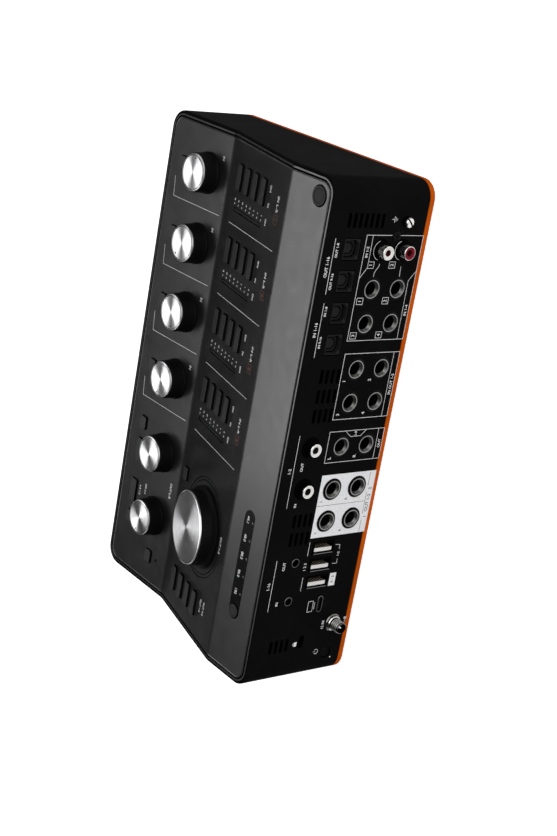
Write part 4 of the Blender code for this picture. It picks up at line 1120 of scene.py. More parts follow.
def cap_steps(shape, top):
    """Return (outline, height) steps over a button's soft top edge."""
    steps = []
    for i in range(ROUND_STEPS):
        angle = math.pi / 2 * i / (ROUND_STEPS - 1)
        spare = -BUTTON_EDGE * (1 - math.cos(angle))
        steps.append((shape(spare), top - BUTTON_EDGE * (1 - math.sin(angle))))
    return steps


def build_bar_buttons():
    """Make every bar button with soft edges, its sides darkened as painted shade."""
    for name, place, length in bar_buttons():
        def bar(spare):
            return rounded_outline(length + 2 * spare, BUTTON_DEPTH + 2 * spare, BUTTON_CORNER + spare)
        steps = [(bar(0), -PANEL_THICKNESS - BUTTON_TAIL)] + cap_steps(bar, BUTTON_PROUD)
        # The sides and the lower part of the edge take the dark material as painted shade.
        cap = fresh(add_steps, steps, marks=[1] * 3 + [0] * (len(steps) - 4))
        piece(f"{name}_cap", cap, [BUTTON_PLASTIC, DARK_BUTTON_AND_SIDE_SHADE], name, place, [name])


def build_round_buttons():
    """Make the round buttons on the rear strip, each with a grooved face and a retaining flange."""
    low = -PANEL_THICKNESS - FIT
    for name, place, radius in round_buttons():
        def disc(spare):
            return circle_outline(radius + spare, RING_SIDES)
        steps = [(disc(FLANGE), low - FLANGE_THICKNESS), (disc(FLANGE), low), (disc(0), low)]
        steps += cap_steps(disc, ROUND_PROUD)
        for share, drop in ROUND_GROOVE_STEPS:
            steps.append((circle_outline(radius * share, RING_SIDES), ROUND_PROUD - drop))
        # The flange, the sides, the lower part of the edge and one wall of the face groove take the dark
        # material as painted shade.
        cap = fresh(add_steps, steps, marks=[1] * 5 + [0] * 3 + [1, 0, 0])
        piece(f"{name}_cap", cap, [ROUND_PLASTIC, DARK_BUTTON_AND_SIDE_SHADE], name, place, [name])


def build_power_button():
    """Make the sunk, dished power button with its retaining flange."""
    low = -WALL - FIT
    cap = fresh(add_turned, [
        (POWER_RADIUS + FLANGE, low - FLANGE_THICKNESS), (POWER_RADIUS + FLANGE, low), (POWER_RADIUS, low),
        *soft_corner(POWER_RADIUS, -POWER_SUNK, BUTTON_EDGE),
        (POWER_RADIUS * POWER_DISH_SHARE, -POWER_SUNK - BUTTON_EDGE),
    ], RING_SIDES)
    piece("power_button_cap", cap, [DARK_BUTTON_AND_SIDE_SHADE], "power_button", POWER_PLACE, ["power_button"])


# Rear sockets


def build_card(name, node, y):
    """Make the circuit board behind a row of sockets."""
    low, high = cad_box(node)
    card = fresh(add_box, high.x - low.x, CARD_THICKNESS, low.z, high.z, shift(0, y))
    piece(name, card, [CARD], stands_for=[node])


def add_jack(bm, collars, place, depth):
    """Add a large jack: a dished metal ring round a black bore, and its flat black collar."""
    back = -WALL - depth
    add_turned(bm, [
        *socket_side(JACK_RING_RADIUS, back - TAIL, JACK_PROUD, SOFT),
        (JACK_CONE_RADIUS, JACK_PROUD), (JACK_CONE_RADIUS - JACK_LIP, JACK_PROUD),
        (JACK_BORE_RADIUS + FINE_SOFT, -JACK_CONE_DEPTH),
        (JACK_BORE_RADIUS, -JACK_CONE_DEPTH - FINE_SOFT), (JACK_BORE_RADIUS, back),
    ], RING_SIDES, place, marks=[1, 2, 2, 3, 0, 0, 1])
    inner = JACK_RING_RADIUS + COLLAR_GAP
    add_washer(collars, inner, JACK_COLLAR_RADIUS, 0, COLLAR_PROUD, RING_SIDES, place)


def build_rear_jacks():
    """Make the large rear jacks, the board that carries them and their square bodies."""
    rings = bmesh.new()
    collars = bmesh.new()
    bodies = bmesh.new()
    inner = JACK_RING_RADIUS + FINE_SOFT
    back = -WALL - JACK_DEPTH
    for place in JACK_PLACES:
        add_jack(rings, collars, place, JACK_DEPTH)
        add_washer(bodies, inner, JACK_BODY_RADIUS, back + FIT, -WALL - FIT, JACK_BODY_SIDES, place)
    piece("rear_jack_rings", rings, [RING_METAL, BORE_BLACK_AND_SHADE, SOCKET_BLACK, RING_EDGE])
    piece("rear_jack_collars", collars, [SOCKET_BLACK])
    build_card("rear_card", "rear_board", REAR_Y - WALL - JACK_DEPTH - CARD_THICKNESS / 2)
    piece("rear_jack_bodies", bodies, [SOCKET_BLACK])


def build_optical():
    """Make the optical sockets' bevelled frames and their raised flaps."""
    steps = [
        (OPTICAL_GAP, SOFT, -OPTICAL_DEPTH - TAIL),
        (OPTICAL_GAP, SOFT, -FINE_SOFT),
        (2 * OPTICAL_GAP, SOFT, OPTICAL_PROUD),
        (2 * OPTICAL_GAP + OPTICAL_LIP, 2 * SOFT, OPTICAL_PROUD),
        (OPTICAL_FRAME, OPTICAL_CHAMFER, -OPTICAL_DISH),
        (OPTICAL_FRAME, OPTICAL_CHAMFER, SOFT - SHUTTER_SUNK),
        (OPTICAL_FRAME, OPTICAL_CHAMFER, -OPTICAL_DEPTH),
    ]
    outlines = [(optical_outline(shrink, chamfer), z) for shrink, chamfer, z in steps]
    frames = bmesh.new()
    for place in OPTICAL_PLACES:
        # The deep inner wall below the flap takes the black as painted shade.
        add_steps(frames, outlines, place, marks=[0, 0, 0, 0, 0, 1])
    piece("optical_frames", frames, [SOCKET_SATIN, BORE_BLACK_AND_SHADE])

    half = SHUTTER_THICKNESS / 2
    inner = FLAP_BORDER + FLAP_GROOVE
    low = half - FLAP_GROOVE_DEPTH
    steps = [
        (0, -half), (0, half - FINE_SOFT), (FINE_SOFT, half), (FLAP_BORDER, half), (FLAP_BORDER, low),
        (inner, low), (inner, half), (inner + FINE_SOFT, half + FINE_SOFT),
    ]
    outlines = [(optical_outline(OPTICAL_FRAME + FIT + shrink), z) for shrink, z in steps]
    for i, place in enumerate(OPTICAL_PLACES):
        name = f"optical_shutter_{i + 1}"
        sunk = place @ shift(0, 0, -SHUTTER_SUNK - half)
        # The flap's groove takes the black as painted shade.
        flap = fresh(add_steps, outlines, marks=[0, 0, 0, 1, 1, 1, 0])
        piece(f"{name}_flap", flap, [SOCKET_SATIN, BORE_BLACK_AND_SHADE], name, sunk, [name])


def rca_profile(reach, rim, bore):
    """Return the turned outline of a coaxial socket, from its tail to its bore."""
    barrel = RCA_BARREL_RADIUS
    shoulder = barrel + RCA_SHOULDER
    shoulder_top = RCA_FLANGE_PROUD + RCA_SHOULDER_HEIGHT
    return [
        *socket_side(RCA_FLANGE_RADIUS, -WALL - 2 * TAIL, RCA_FLANGE_PROUD, SOFT),
        (shoulder + SOFT, RCA_FLANGE_PROUD), (shoulder, shoulder_top),
        (barrel, shoulder_top), (barrel, reach - RCA_LIP),
        (barrel - RCA_LIP_MIDDLE, reach - RCA_LIP_MIDDLE), (barrel - RCA_LIP_ROUND, reach),
        (barrel - rim, reach), (bore + SOFT, reach - SOFT), (bore, reach - RCA_LIP),
        (bore, reach - RCA_INSULATOR_DEPTH), (bore, -WALL),
    ]


def build_coax():
    """Make the digital and turntable coaxial sockets with coloured insulators."""
    coax = rca_profile(COAX_REACH, COAX_RIM, COAX_BORE_RADIUS)
    phono = rca_profile(RCA_REACH, RCA_RIM, RCA_BORE_RADIUS)
    low, high = PHONO_PLACES
    sockets = [("coax_socket", place, coax, 0, WHITE_PLASTIC, SOCKET_SATIN, ()) for place in COAX_PLACES]
    sockets.append(("phono_socket", high, phono, 1, WHITE_PLASTIC, MAROON, ["phono_sockets"]))
    sockets.append(("phono_socket", low, phono, 1, RED_PLASTIC, MAROON, ()))
    for i, (name, place, profile, side, inner, bore, nodes) in enumerate(sockets):
        # On the digital sockets the barrel side takes the black as painted shade; on the turntable sockets
        # it is nickel.
        bm = fresh(add_turned, profile, RING_SIDES, marks=[0] * 5 + [side, 1, 1, 1, 2, 2, 3, 3])
        paints = [BORE_BLACK_AND_SHADE, NICKEL, inner, bore]
        piece(f"{name}_{i + 1}", bm, paints, place=place, stands_for=nodes)


def build_phono_highlights():
    """Make white arcs on the upper side of the turntable sockets' flanges, a painted highlight."""
    bm = bmesh.new()
    for place in PHONO_PLACES:
        flange = place @ shift(0, 0, RCA_FLANGE_PROUD)
        # A white arc over the flange's upper side: painted highlight.
        add_arc(bm, RCA_FLANGE_RADIUS - 2 * SOFT, *PHONO_HIGHLIGHT_ARC, FINE_LINE, flange)
    piece("phono_painted_highlights", bm, [WHITE_PLASTIC])


def add_mini(bm, place, depth):
    """Add a small jack with a thin metal ring."""
    back = -WALL - depth
    add_turned(bm, [
        *socket_side(MINI_RING_RADIUS, back - TAIL, FIT, FINE_SOFT), (MINI_RING_RADIUS - 3 * FINE_SOFT, FIT),
        (MINI_BORE_RADIUS, -SOFT), (MINI_BORE_RADIUS, back),
    ], RING_SIDES, place, marks=[1, 0, 0, 1, 1])


def build_minis():
    """Make the small rear jacks."""
    bm = bmesh.new()
    for place in MINI_PLACES:
        add_mini(bm, place, JACK_DEPTH / 2)
    piece("rear_small_jacks", bm, [RING_METAL, BORE_BLACK_AND_SHADE])


def inset_steps(width, height, rows, arc_steps):
    """Return (outline, height) steps of a rounded rectangle from rows of inset, corner and height."""
    steps = []
    for inset, corner, z in rows:
        steps.append((rounded_outline(width - 2 * inset, height - 2 * inset, corner, arc_steps), z))
    return steps


def build_hub_sockets():
    """Make the hub sockets with their lips, tongues and contacts."""
    shells, lips, tongues, faces, contacts = [bmesh.new() for _ in range(5)]
    steps = inset_steps(USB_WIDTH, USB_LENGTH, [
        (0, USB_CORNER, -USB_DEPTH - TAIL),
        (0, USB_CORNER, USB_PROUD - THIN_SOFT),
        (THIN_SOFT, USB_CORNER - THIN_SOFT, USB_PROUD),
        (USB_SHELL - THIN_SOFT, USB_CORNER / 2, USB_PROUD),
        (USB_SHELL, USB_INNER_CORNER, USB_PROUD - SOFT),
        (USB_SHELL, USB_INNER_CORNER, -USB_DEPTH),
    ], 3)
    length = USB_LENGTH - 4 * USB_SHELL
    tongue = rounded_outline(USB_TONGUE, length, SOFT, 2)
    for place in HUB_PLACES:
        add_steps(shells, steps, place)
        lip = place @ shift(-(USB_WIDTH - USB_SHELL) / 2, 0)
        add_box(lips, USB_LIP_WIDTH, USB_LENGTH - 2 * USB_SHELL, 0, USB_PROUD + USB_LIP_RISE, lip)
        add_prism(tongues, tongue, -USB_DEPTH, 0, place @ shift(-USB_TONGUE_SIDE, 0))
        face = place @ shift(USB_TONGUE / 2 + USB_FACE_OUT - USB_TONGUE_SIDE, 0)
        add_box(faces, USB_FACE, length, -USB_DEPTH, -THIN_SOFT, face)
        for y in spread(0, USB_CONTACT_PITCH, USB_CONTACTS):
            spot = face @ shift(USB_CONTACT, y)
            add_box(contacts, USB_CONTACT, USB_CONTACT_WIDTH, TAIL - USB_DEPTH, -USB_CONTACT_SUNK, spot)
    piece("hub_socket_shells", shells, [BORE_BLACK_AND_SHADE])
    piece("hub_socket_lips", lips, [RING_METAL])
    piece("hub_socket_tongues", tongues, [WHITE_PLASTIC])
    piece("hub_socket_faces", faces, [BORE_BLACK_AND_SHADE])
    piece("hub_socket_contacts", contacts, [CONTACT_BRASS])


def build_computer_socket():
    """Make the small computer socket and its tongue."""
    rows = [
        (0, -DATA_DEPTH - TAIL), (0, FIT - FINE_SOFT), (FINE_SOFT, FIT),
        (DATA_SHELL - FINE_SOFT, FIT), (DATA_SHELL, FIT - THIN_SOFT), (DATA_SHELL, -DATA_DEPTH),
    ]
    rows = [(inset, DATA_WIDTH / 2 - inset, z) for inset, z in rows]
    steps = inset_steps(DATA_LENGTH, DATA_WIDTH, rows, 8)
    shell = fresh(add_steps, steps, DATA_PLACE, marks=[0, 0, 0, 0, 1])
    piece("computer_socket_shell", shell, [RING_METAL, BORE_BLACK_AND_SHADE])
    outline = rounded_outline(DATA_LENGTH - 6 * DATA_SHELL, DATA_TONGUE, DATA_TONGUE_CORNER, 3)
    tongue = fresh(add_prism, outline, -DATA_DEPTH, -DATA_SHELL, DATA_PLACE)
    piece("computer_socket_tongue", tongue, [SOCKET_BLACK])


def build_power_inlet():
    """Make the threaded power inlet with its nut, bore and centre pin."""
    root = DC_RADIUS - THREAD_DEPTH
    crest_start, crest_end = THREAD_CREST_SHARES
    profile = [(root, -DC_BORE_DEPTH - TAIL), (root, NUT_NECK_TOP)]
    marks = [1]
    z = NUT_NECK_TOP
    while z + THREAD_PITCH < DC_REACH - DC_TIP:
        profile += [(root, z + FINE_SOFT), (DC_RADIUS, z + THREAD_PITCH * crest_start)]
        profile += [(DC_RADIUS, z + THREAD_PITCH * crest_end), (root, z + THREAD_PITCH * THREAD_FALL_SHARE)]
        # Thread roots and rising flanks take the black as painted shade; falling flanks take the lighter
        # edge metal as a painted highlight.
        marks += [1, 1, 0, 2]
        z += THREAD_PITCH
    profile += [
        (DC_RADIUS - SOFT, DC_REACH - DC_TIP), (DC_RADIUS - SOFT - DC_TIP, DC_REACH),
        (DC_BORE_RADIUS + 2 * SOFT, DC_REACH), (DC_BORE_RADIUS, DC_REACH - DC_MOUTH),
        (DC_BORE_RADIUS, -DC_BORE_DEPTH),
    ]
    barrel = fresh(add_turned, profile, RING_SIDES, DC_PLACE, marks + [1, 0, 1, 1, 1])
    piece("power_inlet_barrel", barrel, [GUNMETAL, BORE_BLACK_AND_SHADE, RING_EDGE], stands_for=["dc_inlet"])

    soft = NUT_HEIGHT / 3
    inner = DC_RADIUS + NUT_GAP
    rings = turned_rings([
        (NUT_RADIUS, 0), (NUT_RADIUS, NUT_HEIGHT - soft), (NUT_RADIUS - soft, NUT_HEIGHT),
        (NUT_NECK_RADIUS, NUT_HEIGHT), (NUT_NECK_RADIUS, NUT_NECK_TOP - soft),
        (NUT_NECK_RADIUS - soft, NUT_NECK_TOP), (inner, NUT_NECK_TOP), (inner, 0),
    ], RING_SIDES)
    # The nut's outer chamfer and its neck's chamfer take lighter metals as painted highlights.
    nut = fresh(add_hoop, rings, DC_PLACE, [0, 1, 0, 0, 2, 0, 0, 0])
    piece("power_inlet_nut", nut, [GUNMETAL, DARK_NICKEL, NICKEL])

    tip = DC_REACH - DC_PIN_SUNK
    pin = fresh(add_turned, [
        (DC_PIN_RADIUS, -DC_BORE_DEPTH), (DC_PIN_RADIUS, tip - DC_PIN_TAPER), (DC_PIN_RADIUS / 2, tip),
    ], RING_SIDES // 2, DC_PLACE)
    piece("power_inlet_pin", pin, [NICKEL])


def build_ground_post():
    """Make the domed ground post with its two grooves and its slot."""
    radius = GROUND_RADIUS
    shank = radius * GROUND_SHANK_SHARE
    groove = radius * GROUND_GROOVE_SHARE
    crown = GROUND_REACH - GROUND_CROWN
    dome = [(shank, -WALL - 2 * TAIL), (shank, FIT), (radius, FIT)]
    marks = [1, 1]
    for z in GROUND_GROOVES:
        end = z + GROUND_GROOVE_WIDTH
        dome += [(radius, z), (groove, z + FINE_SOFT), (groove, end - FINE_SOFT), (radius, end)]
        # The grooves' walls and floors take the black as painted shade.
        marks += [0, 1, 1, 1]
    dome.append((radius, crown))
    for i in range(1, ROUND_STEPS + 1):
        angle = math.pi / 2 * i / (ROUND_STEPS + 0.5)
        dome.append((radius * math.cos(angle), crown + GROUND_CROWN * math.sin(angle)))
    # The dome's top bands and crown face take the brighter nickel as a painted highlight.
    nut = fresh(add_turned, dome, GROUND_FACETS, GROUND_PLACE, marks + [0, 0, 0, 2, 2, 2])
    paints = [DARK_NICKEL, BORE_BLACK_AND_SHADE, NICKEL]
    post = piece("ground_post_nut", nut, paints, stands_for=["ground_post"])
    turned = GROUND_PLACE @ Matrix.Rotation(GROUND_SLOT_TURN, 4, "Z")
    size = (GROUND_SLOT, 2 * radius + TAIL)
    # The slot takes the black as painted shade.
    carve(post, fresh(add_box, *size, GROUND_REACH - GROUND_SLOT, GROUND_REACH + CUT_PAST, turned), 1)


def build_screw():
    """Make the black cross-headed screw by the turntable sockets."""
    head = [(SCREW_RADIUS, 0), (SCREW_RADIUS, SCREW_HEIGHT * SCREW_SIDE_SHARE)]
    for i in range(1, ROUND_STEPS + 1):
        angle = math.pi / 3 * i / ROUND_STEPS
        share = SCREW_SIDE_SHARE + SCREW_DOME_SHARE * math.sin(angle)
        head.append((SCREW_RADIUS * math.cos(angle), SCREW_HEIGHT * share))
    screw = piece("rear_screw", fresh(add_turned, head, RING_SIDES, SCREW_PLACE), [SOCKET_BLACK])
    slot = (SCREW_SLOT_WIDTH, SCREW_SLOT_LENGTH)
    for size in (slot, slot[::-1]):
        carve(screw, fresh(add_box, *size, SCREW_SLOT_LOW, CUT_PAST, SCREW_PLACE))


# Front sockets


def build_inputs():
    """Make the board behind the front wall and its four combined input sockets."""
    build_card("front_card", "front_board", FRONT_Y + WALL + COMBO_DEPTH + CARD_THICKNESS / 2)
    hole = circle_outline(COMBO_PIN_RADIUS, RING_SIDES // 2)
    for i, place in enumerate(INPUT_PLACES):
        ring = fresh(add_turned, [
            *socket_side(COMBO_RADIUS, -WALL - COMBO_DEPTH + FIT, COMBO_PROUD, COMBO_SOFT),
            (COMBO_RADIUS - COMBO_LIP, COMBO_PROUD), (COMBO_RADIUS - COMBO_LIP - COMBO_SLOPE, -COMBO_SUNK),
            (COMBO_FACE_RADIUS + COMBO_SOFT, -COMBO_SUNK), (COMBO_FACE_RADIUS, -FINE_SOFT),
        ], KNOB_SIDES, place, marks=[1, 0, 0, 0, 1, 1])
        socket = piece(f"front_input_{i + 1}", ring, [RING_METAL, SOCKET_BLACK])
        bores = bmesh.new()
        add_prism(bores, circle_outline(JACK_BORE_RADIUS, RING_SIDES), TAIL - COMBO_DEPTH, CUT_PAST, place)
        for k in range(COMBO_PINS):
            turn = Matrix.Rotation(math.tau * k / COMBO_PINS - math.pi / 2, 4, "Z")
            pin = place @ turn @ shift(COMBO_PIN_CIRCLE, 0)
            add_prism(bores, hole, -COMBO_DEPTH / 2, CUT_PAST, pin)
        carve(socket, bores)


def build_phones_jacks():
    """Make the large and small phones jacks on the front."""
    rings = bmesh.new()
    collars = bmesh.new()
    for place in PHONES_JACK_PLACES:
        add_jack(rings, collars, place, PHONES_JACK_DEPTH)
    for place in PHONES_MINI_PLACES:
        add_mini(rings, place, COMBO_DEPTH / 2)
    piece("front_jack_rings", rings, [RING_METAL, BORE_BLACK_AND_SHADE, SOCKET_BLACK, RING_EDGE])
    piece("front_jack_collars", collars, [SOCKET_BLACK])


# Rear print, as places across the wall and heights over the underside

# Left, right, low and high sides
LINE_FRAME = (-105.7, -53.3, 3.0, 39.1)
INSERT_FRAME = (-46.7, -12.8, 3.05, 38.6)
AUX_FRAME = (-6.4, 10.0, 2.9, 38.6)
SPEAKER_FIELD = (16.6, 50.6, 2.55, 38.2)
CHARGE_BOX = (72.0, 79.2, 16.1, 20.2)
LAPTOP_BOX = (86.7, 92.6, 27.9, 31.1)

# Lines through points
STRIP_LINE_Z = 6.8
LINE_TAB = ((-88.0, 3.1), (-83.0, 7.1), (-53.5, 6.8))
PHONO_TAB = ((-105.5, 35.2), (-89.8, 35.1), (-84.6, 39.0))
AUX_TAB = ((-6.3, 28.6), (-3.2, 24.7), (-3.2, 18.2), (-6.3, 15.0))
PHONO_LINES = (
    ((-91.7, 27.8), (-90.2, 28.1), (-88.7, 29.3), (-87.2, 30.2), (-85.2, 30.2)),
    ((-90.4, 13.8), (-89.1, 13.7), (-87.1, 13.7), (-85.3, 13.5)),
)
HUB_BRACKETS = (((55.9, 20.4), (56.2, 17.5), (58.8, 17.4)), ((64.1, 17.4), (66.7, 17.4), (66.5, 20.3)))

# Left end, right end and height
SECTION_LINES = ((-104.0, -76.9, 58.0), (-72.6, -45.5, 57.8), (-5.9, 32.2, 57.4), (60.5, 88.7, 57.2))
HUB_LINES = ((52.6, 60.3, 37.9), (72.2, 79.7, 38.1))

# Labels and signs
LABEL_SHIFT = (6.1, 5.7)
PHONO_LABEL_SHIFT = (7.4, 4.3)
BOX_SIZE = (3.2, 3.8)
GROUND_SIGN = (-113.5, 23.6)
GROUND_STEM = 1.7
GROUND_BARS = ((1.5, 0), (1.0, -0.8), (0.5, -1.6))
LOCK_SIGN = (110.4, 34.8)
LOCK_SIGN_SIZE = (2.4, 1.7)
LOCK_BOW = 0.75
LAPTOP_FOOT = 1.0
POLARITY_SIGN = (99.6, 3.7)
POLARITY_DOT = 0.8
POLARITY_RADIUS = 0.9
POLARITY_ARC = (40, 320)
POLARITY_LINE = (100.6, 103.2)
POWER_SIGN = (117.0, 19.6)
POWER_SIGN_RADIUS = 1.3
POWER_SIGN_ARC = (130, 410)
POWER_SIGN_LINE = (0.4, 1.9)
# A white dot by the power button: a painted highlight.
POWER_HIGHLIGHT_DOT = (121.9, 8.9)
POWER_HIGHLIGHT_RADIUS = 0.4

# Speaker field
SPEAKER_LINE_Z = 6.4
SPEAKER_SPLIT_TOP = 37.6
SPEAKER_LINES = ((17.1, 24.5), (28.3, 40.5), (43.5, 50.0))
SPEAKER_WORDS = (("2", 26.4), ("OUT 1-2", 34.4), ("1", 42.0))
SPEAKER_WORD_Z = 4.5
SPEAKER_NUMERAL_SIZE = 2.08
CHARGE_WORD_SIZE = 2.21

# Word, place across, height and letter size
REAR_WORDS = (
    ("OUT 1-16", -90.1, 60.3, 2.4), ("IN 1-16", -59.3, 60.1, 2.4),
    ("1-2", 12.7, 59.7, 2.4), ("1-16", 74.6, 59.5, 2.4),
    ("OUT 1-8", -98.2, 55.9, 1.9), ("OUT 9-16", -83.0, 55.9, 1.9),
    ("IN 1-8", -68.4, 55.9, 1.9), ("IN 9-16", -53.0, 55.9, 1.9),
    ("OUT", 11.0, 52.4, 2.2), ("IN", 31.4, 52.2, 2.2), ("OUT", 64.4, 51.9, 2.2), ("IN", 85.1, 52.2, 2.2),
    ("1 2 3", 66.4, 38.2, 2.2), ("1-2", 61.4, 17.5, 2.0), ("12 IN", 101.8, 18.4, 2.2),
    ("IN 1-2", -97.4, 37.1, 2.1), ("IN 1-4", -68.0, 4.9, 2.2), ("IN OUT 1-2", -29.7, 4.8, 2.2),
    ("OUT", 1.8, 4.7, 2.2), ("L-R", -4.8, 21.7, 1.7),
)


def wall_points(points):
    """Turn places across the rear wall into its own axes, whose X runs the other way."""
    return [(-x, z) for x, z in points]


def add_wall_line(bm, points, width=FINE_LINE, closed=False, rise=0.0):
    """Add a printed line through places across the rear wall."""
    add_line(bm, wall_points(points), width, rear_place(0, 0) @ shift(0, 0, rise), closed)


def box_points(left, right, low, high):
    """Return a box's corners in the order a closed line takes."""
    return [(left, low), (right, low), (right, high), (left, high)]


def add_panel(bm, sides):
    """Add a printed area between its left, right, low and high sides on the rear wall."""
    add_prism(bm, wall_points(box_points(*sides))[::-1], 0, PRINT_RISE, rear_place(0, 0))


def add_numeral(bm, label, x, z):
    """Add a numeral on the rear wall."""
    add_text(bm, label, NUMERAL_SIZE, rear_place(x, z))


def add_boxed(bm, label, x, z):
    """Add a numeral in a small box on the rear wall."""
    half_w, half_h = BOX_SIZE[0] / 2, BOX_SIZE[1] / 2
    add_wall_line(bm, box_points(x - half_w, x + half_w, z - half_h, z + half_h), closed=True)
    add_numeral(bm, label, x, z)


def add_channel_labels(bm):
    """Add the numbers and letters beside the rear jacks and the turntable sockets."""
    across, over = LABEL_SHIFT
    for xs, add_label in ((LINE_JACK_XS, add_boxed), (INSERT_JACK_XS, add_numeral)):
        for i, x in enumerate(xs):
            for k, z in enumerate(JACK_ZS):
                add_label(bm, str(2 * i + 2 - k), x + across, z + over)
    phono_across, phono_over = PHONO_LABEL_SHIFT
    for label, z in zip("21", PHONO_ZS):
        add_boxed(bm, label, PHONO_X + phono_across, z + phono_over)
    for label, z in zip("RL", JACK_ZS):
        add_numeral(bm, label, AUX_JACK_X + across, z + over)


def build_rear_print():
    """Make the frames, section lines, signs and numerals on the rear wall."""
    bm = bmesh.new()
    for sides in (LINE_FRAME, INSERT_FRAME, AUX_FRAME):
        add_wall_line(bm, box_points(*sides), LINE_WIDTH, closed=True)
    for left, right, *_ in (INSERT_FRAME, AUX_FRAME):
        add_wall_line(bm, [(right, STRIP_LINE_Z), (left, STRIP_LINE_Z)])
    for points in (LINE_TAB, PHONO_TAB, AUX_TAB, *PHONO_LINES, *HUB_BRACKETS):
        add_wall_line(bm, points)
    for left, right, z in SECTION_LINES + HUB_LINES:
        add_wall_line(bm, [(right, z), (left, z)], LINE_WIDTH)
    for word, x, z, size in REAR_WORDS:
        add_text(bm, word, size, rear_place(x, z))
    add_channel_labels(bm)
    add_signs(bm)
    piece("rear_print", bm, [PRINT_WHITE])


def add_signs(bm):
    """Add the ground, lock, computer, polarity and power signs, the charging socket's box, and a white dot
    by the power button that is a painted highlight.
    """
    ground = rear_place(*GROUND_SIGN)
    add_line(bm, [(0, 0), (0, GROUND_STEM)], FINE_LINE, ground)
    for half, y in GROUND_BARS:
        add_line(bm, [(-half, y), (half, y)], FINE_LINE, ground)

    lock = rear_place(*LOCK_SIGN)
    add_box(bm, *LOCK_SIGN_SIZE, 0, PRINT_RISE, lock)
    add_arc(bm, LOCK_BOW, 0, 180, FINE_LINE, lock @ shift(0, LOCK_SIGN_SIZE[1] / 2))

    add_wall_line(bm, box_points(*LAPTOP_BOX), LINE_WIDTH, closed=True)
    left, right, low, _ = LAPTOP_BOX
    foot = low - LAPTOP_FOOT
    add_wall_line(bm, [(right - LAPTOP_FOOT, foot), (left + LAPTOP_FOOT, foot)], LINE_WIDTH)

    polarity = rear_place(*POLARITY_SIGN)
    add_arc(bm, POLARITY_RADIUS, *POLARITY_ARC, FINE_LINE, polarity)
    add_box(bm, POLARITY_DOT, POLARITY_DOT, 0, PRINT_RISE, polarity)
    add_wall_line(bm, [(x, POLARITY_SIGN[1]) for x in reversed(POLARITY_LINE)])

    power = rear_place(*POWER_SIGN)
    add_arc(bm, POWER_SIGN_RADIUS, *POWER_SIGN_ARC, LINE_WIDTH, power)
    add_line(bm, [(0, y) for y in POWER_SIGN_LINE], FINE_LINE, power)

    add_panel(bm, CHARGE_BOX)
    # The white dot by the power button is a painted highlight.
    add_prism(bm, circle_outline(POWER_HIGHLIGHT_RADIUS, RING_SIDES // 3), 0, PRINT_RISE, rear_place(*POWER_HIGHLIGHT_DOT))


def build_speaker_field():
    """Make the white field round four jacks, with dark print on it and on the charging socket's box."""
    field = piece("speaker_field", fresh(add_panel, SPEAKER_FIELD), [FIELD_WHITE])
    spots = [(label, x, z) for x in SPEAKER_JACK_XS for label, z in zip("RL", JACK_ZS)]
    holes = bmesh.new()
    hole = circle_outline(JACK_COLLAR_RADIUS - FINE_SOFT, RING_SIDES)
    for _, x, z in spots:
        add_prism(holes, hole, -CUT_PAST / 2, CUT_PAST / 2, rear_place(x, z))
    carve(field, holes)

    bm = bmesh.new()
    rise = PRINT_RISE / 2
    add_wall_line(bm, [(SPEAKER_X, SPEAKER_LINE_Z), (SPEAKER_X, SPEAKER_SPLIT_TOP)], rise=rise)
    for start, end in SPEAKER_LINES:
        add_wall_line(bm, [(end, SPEAKER_LINE_Z), (start, SPEAKER_LINE_Z)], rise=rise)
    across, up = LABEL_SHIFT
    left, right, low, high = CHARGE_BOX
    words = [(label, SPEAKER_NUMERAL_SIZE, x + across, z + up) for label, x, z in spots]
    words += [(word, NUMERAL_SIZE, x, SPEAKER_WORD_Z) for word, x in SPEAKER_WORDS]
    words.append(("3 - 3", CHARGE_WORD_SIZE, (left + right) / 2, (low + high) / 2))
    for word, size, x, z in words:
        add_text(bm, word, size, rear_place(x, z) @ shift(0, 0, rise))
    piece("speaker_print", bm, [PRINT_BLACK])


# Top print

METER_NUMBERS = ("48", "36", "24", "18", "12", "6", "3", "0")
METER_LOW = 12.1
METER_STEP = 4.96
METER_NUMERAL_SIZE = 1.25
NUMBER_OFFSET = 6.2
TICK_OFFSET = 8.5
TICK_SIZE = (0.9, 0.4)
LAMP_WORDS = (("ON", -8.6), ("IN", -0.4), ("ON", 8.1))
LAMP_WORD_UP = 52.6
LAMP_WORD_SIZE = 2.2
LAMP_DOT_UP = 56.9
LAMP_DOT_SHIFT = 0.8
LAMP_DOT_RADIUS = 0.6
LAMP_DOT_SOFT = 0.2
TITLE_UP = 63.2
TITLE_OFFSET = -3.4
TITLE_WORD_SIZE = 3.0
TITLE_NUMERAL_SIZE = 3.2
TITLE_BOX_OFFSET = 4.1
TITLE_BOX_HALF = (2.2, 1.8)
DECK_LINE_FRONT = 10.8
DECK_LINE_HOOK = (10.6, 0.9)
DECK_LINE_END = 3.4
SLOPE_LINE = (8.7, 66.1)
TOP_WORD_SIZE = 2.4
DECK_WORD_BACK = 50.1
DECK_WORD_OFFSET = -10.3

# Word, place across, distance back or up, and letter size
DECK_WORDS = (("OUT L-R", 70.1, 50.2, 2.4), ("L-R 1-2", 80.9, 21.8, 1.9), ("ON 3-4", 78.2, 27.0, 1.9))
SLOPE_WORDS = (("OUT 1-2", 69.9, 65.0, 2.5), ("OUT 1-2", 110.0, 53.3, 2.0), ("OUT 3-4", 109.8, 57.8, 2.0))

# Window words and dots
WINDOW_WORDS = ("44.1", "48.0", "88.2", "96.0", "192")
WINDOW_WORD_X = 46.2
WINDOW_PITCH = 9.8
WINDOW_WORD_BACK = 20.2
WINDOW_DOT_BACK = 16.3
WINDOW_DOT_SHIFT = 0.5
WINDOW_DOT_RADIUS = 0.7


